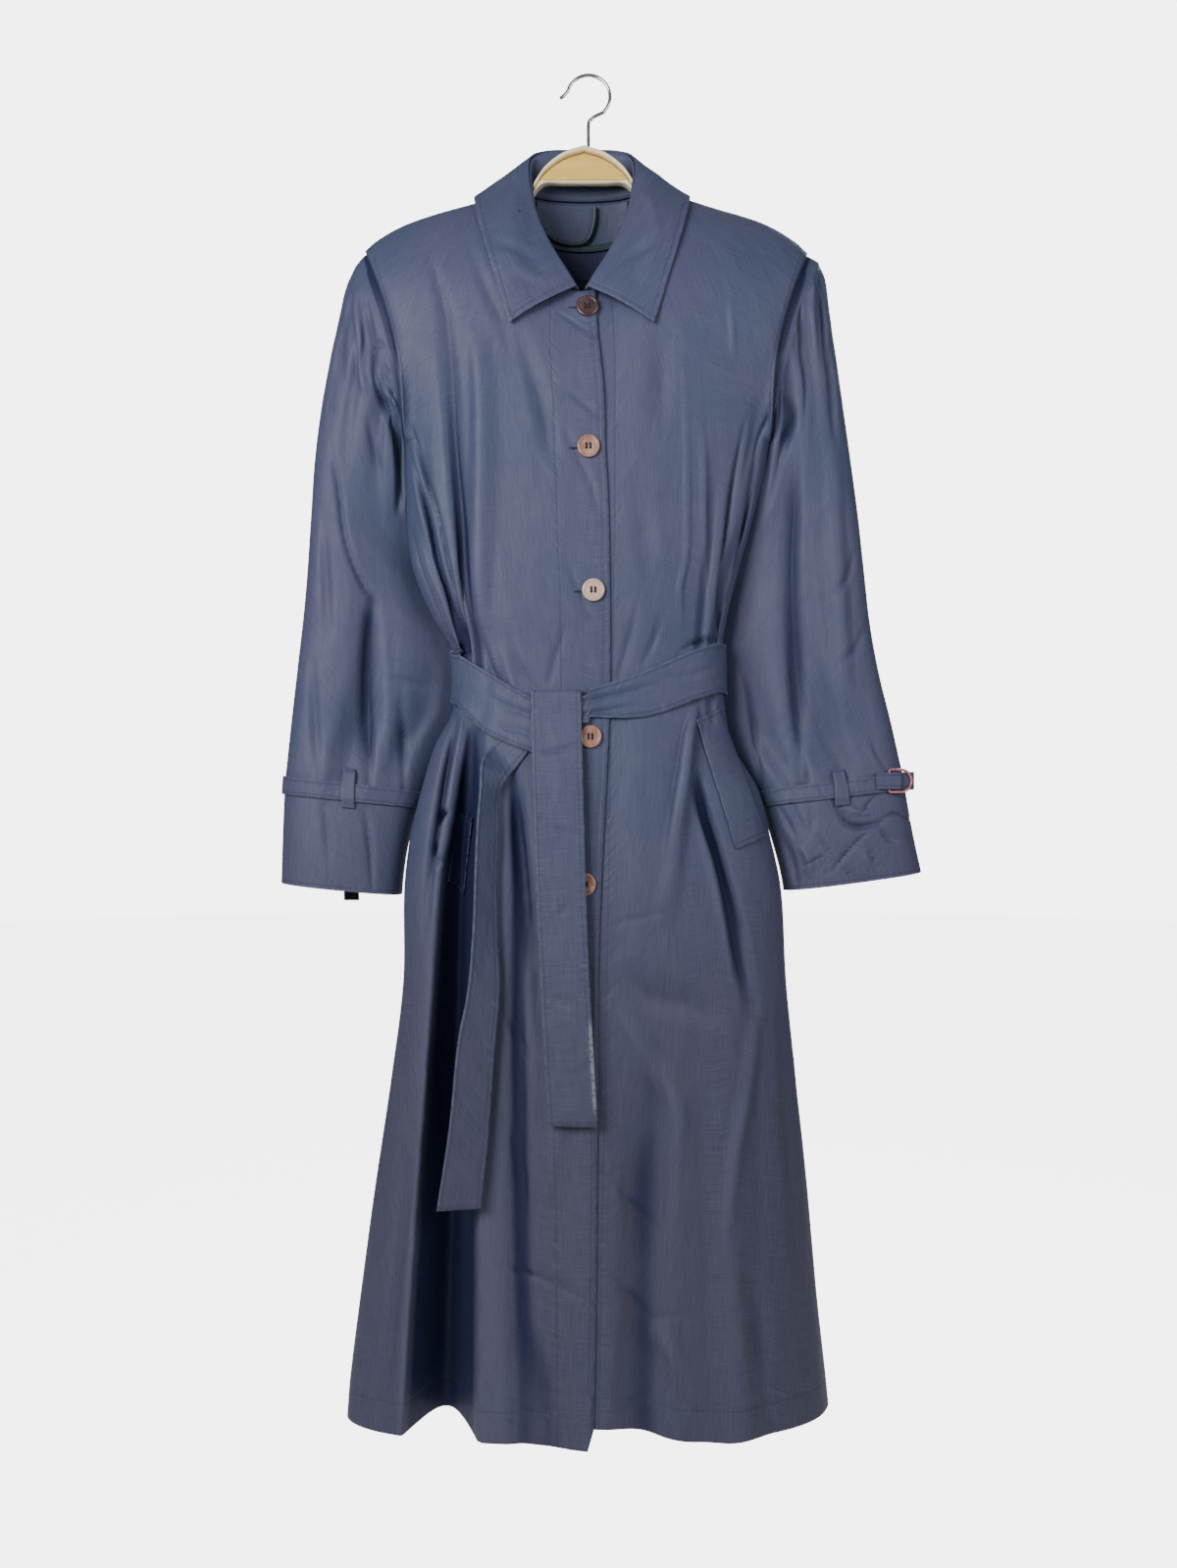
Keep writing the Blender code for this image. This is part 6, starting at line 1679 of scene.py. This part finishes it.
class Shade:  # a material's nodes
    def __init__(self, name):
        self.material = bpy.data.materials.new(name)
        self.material.use_nodes = True
        self.nodes, self.links = self.material.node_tree.nodes, self.material.node_tree.links
        self.nodes.clear()
        self.surface = self.nodes.new("ShaderNodeBsdfPrincipled")
        output = self.nodes.new("ShaderNodeOutputMaterial")
        self.links.new(self.surface.outputs["BSDF"], output.inputs["Surface"])

    def add(self, kind, settings=None, values=(), output=0):
        node = self.nodes.new("ShaderNode" + kind)
        for name, value in (settings or {}).items():
            setattr(node, name, value)
        pairs = values.items() if isinstance(values, dict) else enumerate(values)
        for place, value in pairs:
            self.put(node.inputs[place], value)
        return Wire(self, node.outputs[output])

    def put(self, entry, value):
        if isinstance(value, Wire):
            self.links.new(value.socket, entry)
            return
        value = colours[value] if isinstance(value, str) else value
        entry.default_value = (*value, 1) if entry.type == "RGBA" else value

    def set(self, **values):
        for name, value in values.items():
            self.put(self.surface.inputs[name.replace("_", " ")], value)

    def field(self, name):
        return self.add("Attribute", {"attribute_name": name}, output=2)

    def scaled(self, spot, size):
        return self.add("VectorMath", {"operation": "MULTIPLY"}, [spot, size])

    def vector(self, x, y, z):
        return self.add("CombineXYZ", {}, [x, y, z])

    def place(self, stretch=(1, 1, 1)):  # in millimetres
        return self.scaled(self.add("TexCoord", output="Object"), tuple(perMetre * s for s in stretch))

    def height(self):
        return self.add("SeparateXYZ", {}, [self.place()], output=2)

    # How far a surface turns from the view, for painted sheen and painted shade at grazing angles.
    def rimLight(self, share):
        return self.add("LayerWeight", {}, {0: share}, output="Facing")

    def noise(self, vector, scale, detail, rough):
        values = {"Vector": vector, "Scale": scale, "Detail": detail, "Roughness": rough}
        return self.add("TexNoise", {}, values)

    def mix(self, share, a, b, kind="MIX"):
        settings = {"data_type": "RGBA", "blend_type": kind}
        return self.add("Mix", settings, {0: share, 6: a, 7: b}, output=2)

    def bump(self, height, distance, strength, normal=None):
        values = {"Strength": strength, "Distance": distance * mm, "Height": height}
        if normal is not None:
            values["Normal"] = normal
        return self.add("Bump", {}, values)


def stitchLines(shade):
    # Where thread, grooves and puckers are, from the fields of all stitch lines.
    across, down = shade.field("cutAcross"), shade.field("cutDown")
    lines = [("seamTwin", down, stitches["twin"]), ("seamDown", down, 0), ("seamDownToo", down, 0)]
    lines += [("seamAcross", across, 0), ("seamAcrossToo", across, 0)]
    thread, groove, pucker = None, None, None
    for number, (name, run, twin) in enumerate(lines):
        off = shade.field(name)
        away = abs(abs(off) - twin)
        dash = (run * (2 * math.pi / stitches["length"])).sum("SINE").above(-0.55, -0.15)
        spot = shade.vector(run * 0.17, off * 0.03, 1.7 * number)
        parts = [
            away.below(0.2, 0.55) * dash, away.below(0.3, 1.4),
            abs(off).below(1.5, 8.0) * (shade.noise(spot, 1.0, 2.5, 0.55) - 0.5),
        ]
        thread, groove, pucker = (
            part if total is None else total.sum("MAXIMUM", part) if part is not parts[2] else total + part
            for total, part in zip((thread, groove, pucker), parts)
        )
    return thread, groove, pucker


def coatCloth(name):
    shade = Shade(name)
    across, down = shade.field("cutAcross"), shade.field("cutDown")
    cut = shade.vector(across, down, 0.0)
    spot = shade.place()
    drift = shade.noise(spot, 0.009, 2.5, 0.5)
    fine = shade.noise(spot, 0.05, 3.0, 0.55)
    # A third of the teal share grows towards grazing angles, a painted sheen; the rest follows noise, the
    # cloth's own two tones.
    rim = shade.rimLight(0.35)
    share = (drift.above(0.40, 0.62) * 0.75 + fine.above(0.3, 0.8) * 0.25) * 0.7 + rim.above(0.2, 0.9) * 0.3
    share = share * (shade.height().above(-930, -600) * 0.8 + 0.2)
    # Painted shade: the ground turns from violet to a darker, greyer colour towards the hem, where the light
    # falls off.
    ground = shade.mix(shade.height().above(-980, -560), "hemShade", "violet")
    base = shade.mix(share, ground, "teal")
    slubAcross = shade.noise(shade.vector(across * 0.03, down * 1.6, 0.0), 1.0, 3.0, 0.6)
    slubDown = shade.noise(shade.vector(across * 1.6, down * 0.03, 3.0), 1.0, 3.0, 0.6)
    slub = (slubAcross + slubDown) * 0.5
    base = shade.mix(slub.above(0.38, 0.62) * 0.22, base, "light")
    fold = shade.field("fold")
    # Painted shade: cloth lying below its own average, and pieces given a painted shade amount, are painted
    # darker.
    base = shade.mix(fold.above(0.2, 5.5) * 0.85, base, "deep")
    # Painted highlight: cloth standing above its own average, and the collar stand with its negative amount,
    # is painted lighter.
    base = shade.mix(fold.below(-5.0, -0.4) * 0.16, base, "light")
    # Lighter along finished edges, broken up by noise: partly rubbed wear, partly a painted highlight that
    # makes the edges look thick.
    edgeSpeckle = shade.noise(cut, 0.12, 4.0, 0.6)
    edgeWearAndHighlight = shade.field("edgeAway").below(0.3, 1.8) * edgeSpeckle.above(0.38, 0.62)
    base = shade.mix(edgeWearAndHighlight * 0.4, base, "light")
    rubbed = shade.field("rub") * shade.noise(cut, 0.35, 4.0, 0.65).above(0.34, 0.52)
    base = shade.mix(rubbed * 0.5, base, "rubbed")
    thread, groove, pucker = stitchLines(shade)
    # Painted shade in the stitch grooves.
    base = shade.mix(groove * 0.22, base, "deep")
    base = shade.mix(thread * 0.35, base, "thread")
    # Painted highlight on the raised puckers beside the stitch lines.
    base = shade.mix(pucker.above(0.06, 0.25) * 0.2, base, "light")
    pace = 2 * math.pi / cloth["weave"]
    weave = (across * pace).sum("SINE") * (down * pace).sum("SINE")
    height = weave * 0.02 + slub * 0.25 - groove * 0.3 + thread * 0.2 + pucker * 1.3
    crush = shade.noise(shade.place(stretch=(1, 1, 0.35)), 0.05, 5.0, 0.6)
    normal = shade.bump(crush, 2.6, 0.4)
    normal = shade.bump(height, 1.0, 0.8, normal)
    shade.set(Base_Color=base, Normal=normal, Roughness=fine.above(0.2, 0.9) * 0.1 + 0.46)
    shade.set(Specular_IOR_Level=0.28, Sheen_Weight=0.06, Sheen_Roughness=0.45, Sheen_Tint="sheen")
    return shade.material


def satin(name, colour, roughness):
    shade = Shade(name)
    across, down = shade.field("cutAcross"), shade.field("cutDown")
    thread = shade.noise(shade.vector(across * 1.8, down * 0.05, 0.0), 1.0, 3.0, 0.6)
    cloud = shade.noise(shade.place(), 0.03, 3.0, 0.5)
    light = tuple(min(1, c * 2.2 + 0.01) for c in colours[colour])
    base = shade.mix(thread.above(0.3, 0.7) * 0.3 + cloud.above(0.4, 0.7) * 0.25, colour, light)
    seam = abs(shade.field("seamDown")).below(0.3, 1.3)
    base = shade.mix(seam * 0.8, base, "nearBlack")
    normal = shade.bump(thread * 0.4 + cloud * 1.5 - seam * 0.7, 1.0, 0.6)
    shade.set(Base_Color=base, Normal=normal, Roughness=cloud * 0.15 + roughness)
    shade.set(Specular_IOR_Level=0.3)
    return shade.material


def rouleau(name):
    shade = Shade(name)
    twist = shade.noise(shade.scaled(shade.place(), (0.5, 0.5, 0.16)), 1.0, 3.0, 0.55)
    light = tuple(c * 2.6 for c in colours["binding"])
    base = shade.mix(twist.above(0.35, 0.7) * 0.5, "binding", light)
    shade.set(Base_Color=base, Normal=shade.bump(twist, 0.6, 0.6), Roughness=0.45, Sheen_Weight=0.1)
    return shade.material


def shellButton(name, face, rimColour, spots):
    shade = Shade(name)
    spot = shade.place()
    cloud = shade.noise(spot, 0.11, 4.0, 0.55)
    band = shade.noise(shade.scaled(spot, (0.12, 0.12, 0.6)), 1.0, 3.0, 0.5)
    base = shade.mix(cloud.above(0.35, 0.68), face, spots)
    # Painted light at grazing angles: the colour turns to the rim colour, painted shade on the copper and
    # pale buttons and the ring, a painted sheen on the dark top button.
    base = shade.mix(shade.rimLight(0.4).above(0.25, 0.85) * 0.85, base, rimColour)
    normal = shade.bump(band + cloud * 0.5, 0.25, 0.4)
    shade.set(Base_Color=base, Normal=normal, Roughness=cloud * 0.12 + 0.24, Coat_Weight=0.35)
    shade.set(Coat_Roughness=0.1, Specular_IOR_Level=0.6)
    return shade.material


def dark(name, colour, roughness):
    shade = Shade(name)
    grain = shade.noise(shade.place(), 0.7, 3.0, 0.6)
    light = tuple(c * 2 + 0.004 for c in colours[colour])
    base = shade.mix(grain.above(0.4, 0.7), colour, light)
    shade.set(Base_Color=base, Normal=shade.bump(grain, 0.4, 0.5), Roughness=roughness)
    return shade.material


def woodGrain(name, pale, deep, amount, strip=None):
    shade = Shade(name)
    spot = shade.place()
    bend = shade.noise(shade.scaled(spot, (0.012, 0.22, 0.22)), 1.0, 3.0, 0.55)
    grain = shade.noise(shade.scaled(spot, (0.03, 1.4, 1.4)), 1.0, 4.0, 0.6)
    share = bend.above(0.35, 0.7) * 0.6 + grain.above(0.4, 0.7) * 0.4
    base = shade.mix(share * amount, pale, deep)
    if strip is not None:  # a pale strip along the lower edge, under a thin dark line
        line = abs(shade.height() - strip).below(0.15, 0.5)
        base = shade.mix(shade.height().below(strip - 0.3, strip), base, "rim")
        base = shade.mix(line * 0.7, base, "copperDeep")
    shade.set(Base_Color=base, Normal=shade.bump(grain, 0.12, 0.4), Roughness=grain * 0.1 + 0.28)
    shade.set(Coat_Weight=0.3, Coat_Roughness=0.12)
    return shade.material


def plating(name):
    shade = Shade(name)
    smear = shade.noise(shade.place(), 0.16, 4.0, 0.6)
    base = shade.mix(smear.above(0.4, 0.75) * 0.3, "steel", "steelDull")
    shade.set(Base_Color=base, Metallic=1.0, Roughness=smear * 0.12 + 0.08)
    shade.set(Normal=shade.bump(smear, 0.05, 0.3))
    return shade.material


def paint(material, *pieces):
    for piece in pieces:
        piece.data.materials.clear()
        piece.data.materials.append(material)


shellCloth = coatCloth("coatCloth")
satinLining, satinBinding = satin("liningSatin", "lining", 0.42), satin("bindingSatin", "binding", 0.4)
copperButton = shellButton("copperButton", "copper", "copperDeep", "cream")
paleButton = shellButton("paleButton", "palePink", "copperDeep", "paleCream")
darkTopButton = shellButton("darkTopButton", "darkButton", "plum", "plum")
threadDark = dark("buttonThread", "nearBlack", 0.8)
for piece in clothMade:
    paint({"backLining": satinLining, "facingBinding": satinBinding}.get(piece.name, shellCloth), piece)
for number, (piece, threads) in enumerate(buttons, 1):
    paint({1: darkTopButton, 3: paleButton}.get(number, copperButton), piece)
    paint(threadDark, *threads)
paint(shellButton("roseRing", "rose", "plum", "roseLight"), cuffRing)
# Painted shade: the strap's loose end behind the cuff is painted near-black for the shade it hangs in.
paint(dark("tabPaintedShade", "nearBlack", 0.85), cuffTab)
paint(rouleau("loopSatin"), neckLoop)
paint(shellCloth, *strapEnds)
# Painted shade: the buttonhole slits are near-black.
holeEdge, holeSlitShade = dark("buttonholeThread", "holeThread", 0.7), dark("buttonholeSlitShade", "nearBlack", 0.9)
for edge, slit in buttonholes:
    paint(holeEdge, edge)
    paint(holeSlitShade, slit)
paint(woodGrain("hangerWood", "woodPale", "woodDeep", 1.0, hanger["strip"]), hangerBody)
paint(woodGrain("hangerRimLacquer", "rim", "woodPale", 0.35), hangerRim)
paint(plating("hookPlating"), hangerHook)
print("materials made")


def makeFloor():
    form = bmesh.new()
    bmesh.ops.create_circle(form, cap_ends=True, segments=128, radius=studio["floorRadius"] * mm)
    bmesh.ops.translate(form, verts=form.verts, vec=(0, 0, studio["floor"] * mm))
    mesh = bpy.data.meshes.new("studioFloor")
    form.to_mesh(mesh)
    form.free()
    floor = bpy.data.objects.new("studioFloor", mesh)
    bpy.context.scene.collection.objects.link(floor)
    shade = Shade("studioFloor")
    glow = shade.mix(shade.add("LightPath"), (0, 0, 0), (1, 1, 1))
    shade.set(Base_Color="floor", Roughness=0.9)
    shade.set(Emission_Color=glow, Emission_Strength=studio["floorGlow"])
    mesh.materials.append(shade.material)


def makeWorld():
    world = bpy.data.worlds.new("studio")
    bpy.context.scene.world = world
    world.use_nodes = True
    nodes, links = world.node_tree.nodes, world.node_tree.links
    path = nodes.new("ShaderNodeLightPath")
    level = nodes.new("ShaderNodeMapRange")
    level.inputs["To Min"].default_value = studio["ambient"]
    level.inputs["To Max"].default_value = studio["background"]
    links.new(path.outputs["Is Camera Ray"], level.inputs["Value"])
    links.new(level.outputs["Result"], nodes["Background"].inputs["Strength"])
    nodes["Background"].inputs["Color"].default_value = (1, 1, 1, 1)


def makeLamp(name, at, target, size, power, colour):
    lamp = bpy.data.lights.new(name, "AREA")
    lamp.shape = "RECTANGLE"
    lamp.size, lamp.size_y = size, size
    lamp.energy = power
    lamp.color = colour
    piece = bpy.data.objects.new(name, lamp)
    bpy.context.scene.collection.objects.link(piece)
    piece.location = at
    piece.rotation_euler = (Vector(target) - Vector(at)).to_track_quat("-Z", "Y").to_euler()
    piece.visible_camera = False


def makeCamera():
    lens = bpy.data.cameras.new("view")
    lens.sensor_width = camera["sensor"]
    lens.lens = camera["focal"] * camera["sensor"] / camera["frame"][1]
    lens.clip_start, lens.clip_end = camera["clip"]
    eye = bpy.data.objects.new("view", lens)
    bpy.context.scene.collection.objects.link(eye)
    eye.location = (0, -camera["away"] * mm, camera["height"] * mm)
    eye.rotation_euler = (math.pi / 2, 0, 0)
    bpy.context.scene.camera = eye


makeFloor()
makeWorld()
for name, lamp in lamps.items():
    makeLamp(name, *lamp)
makeCamera()
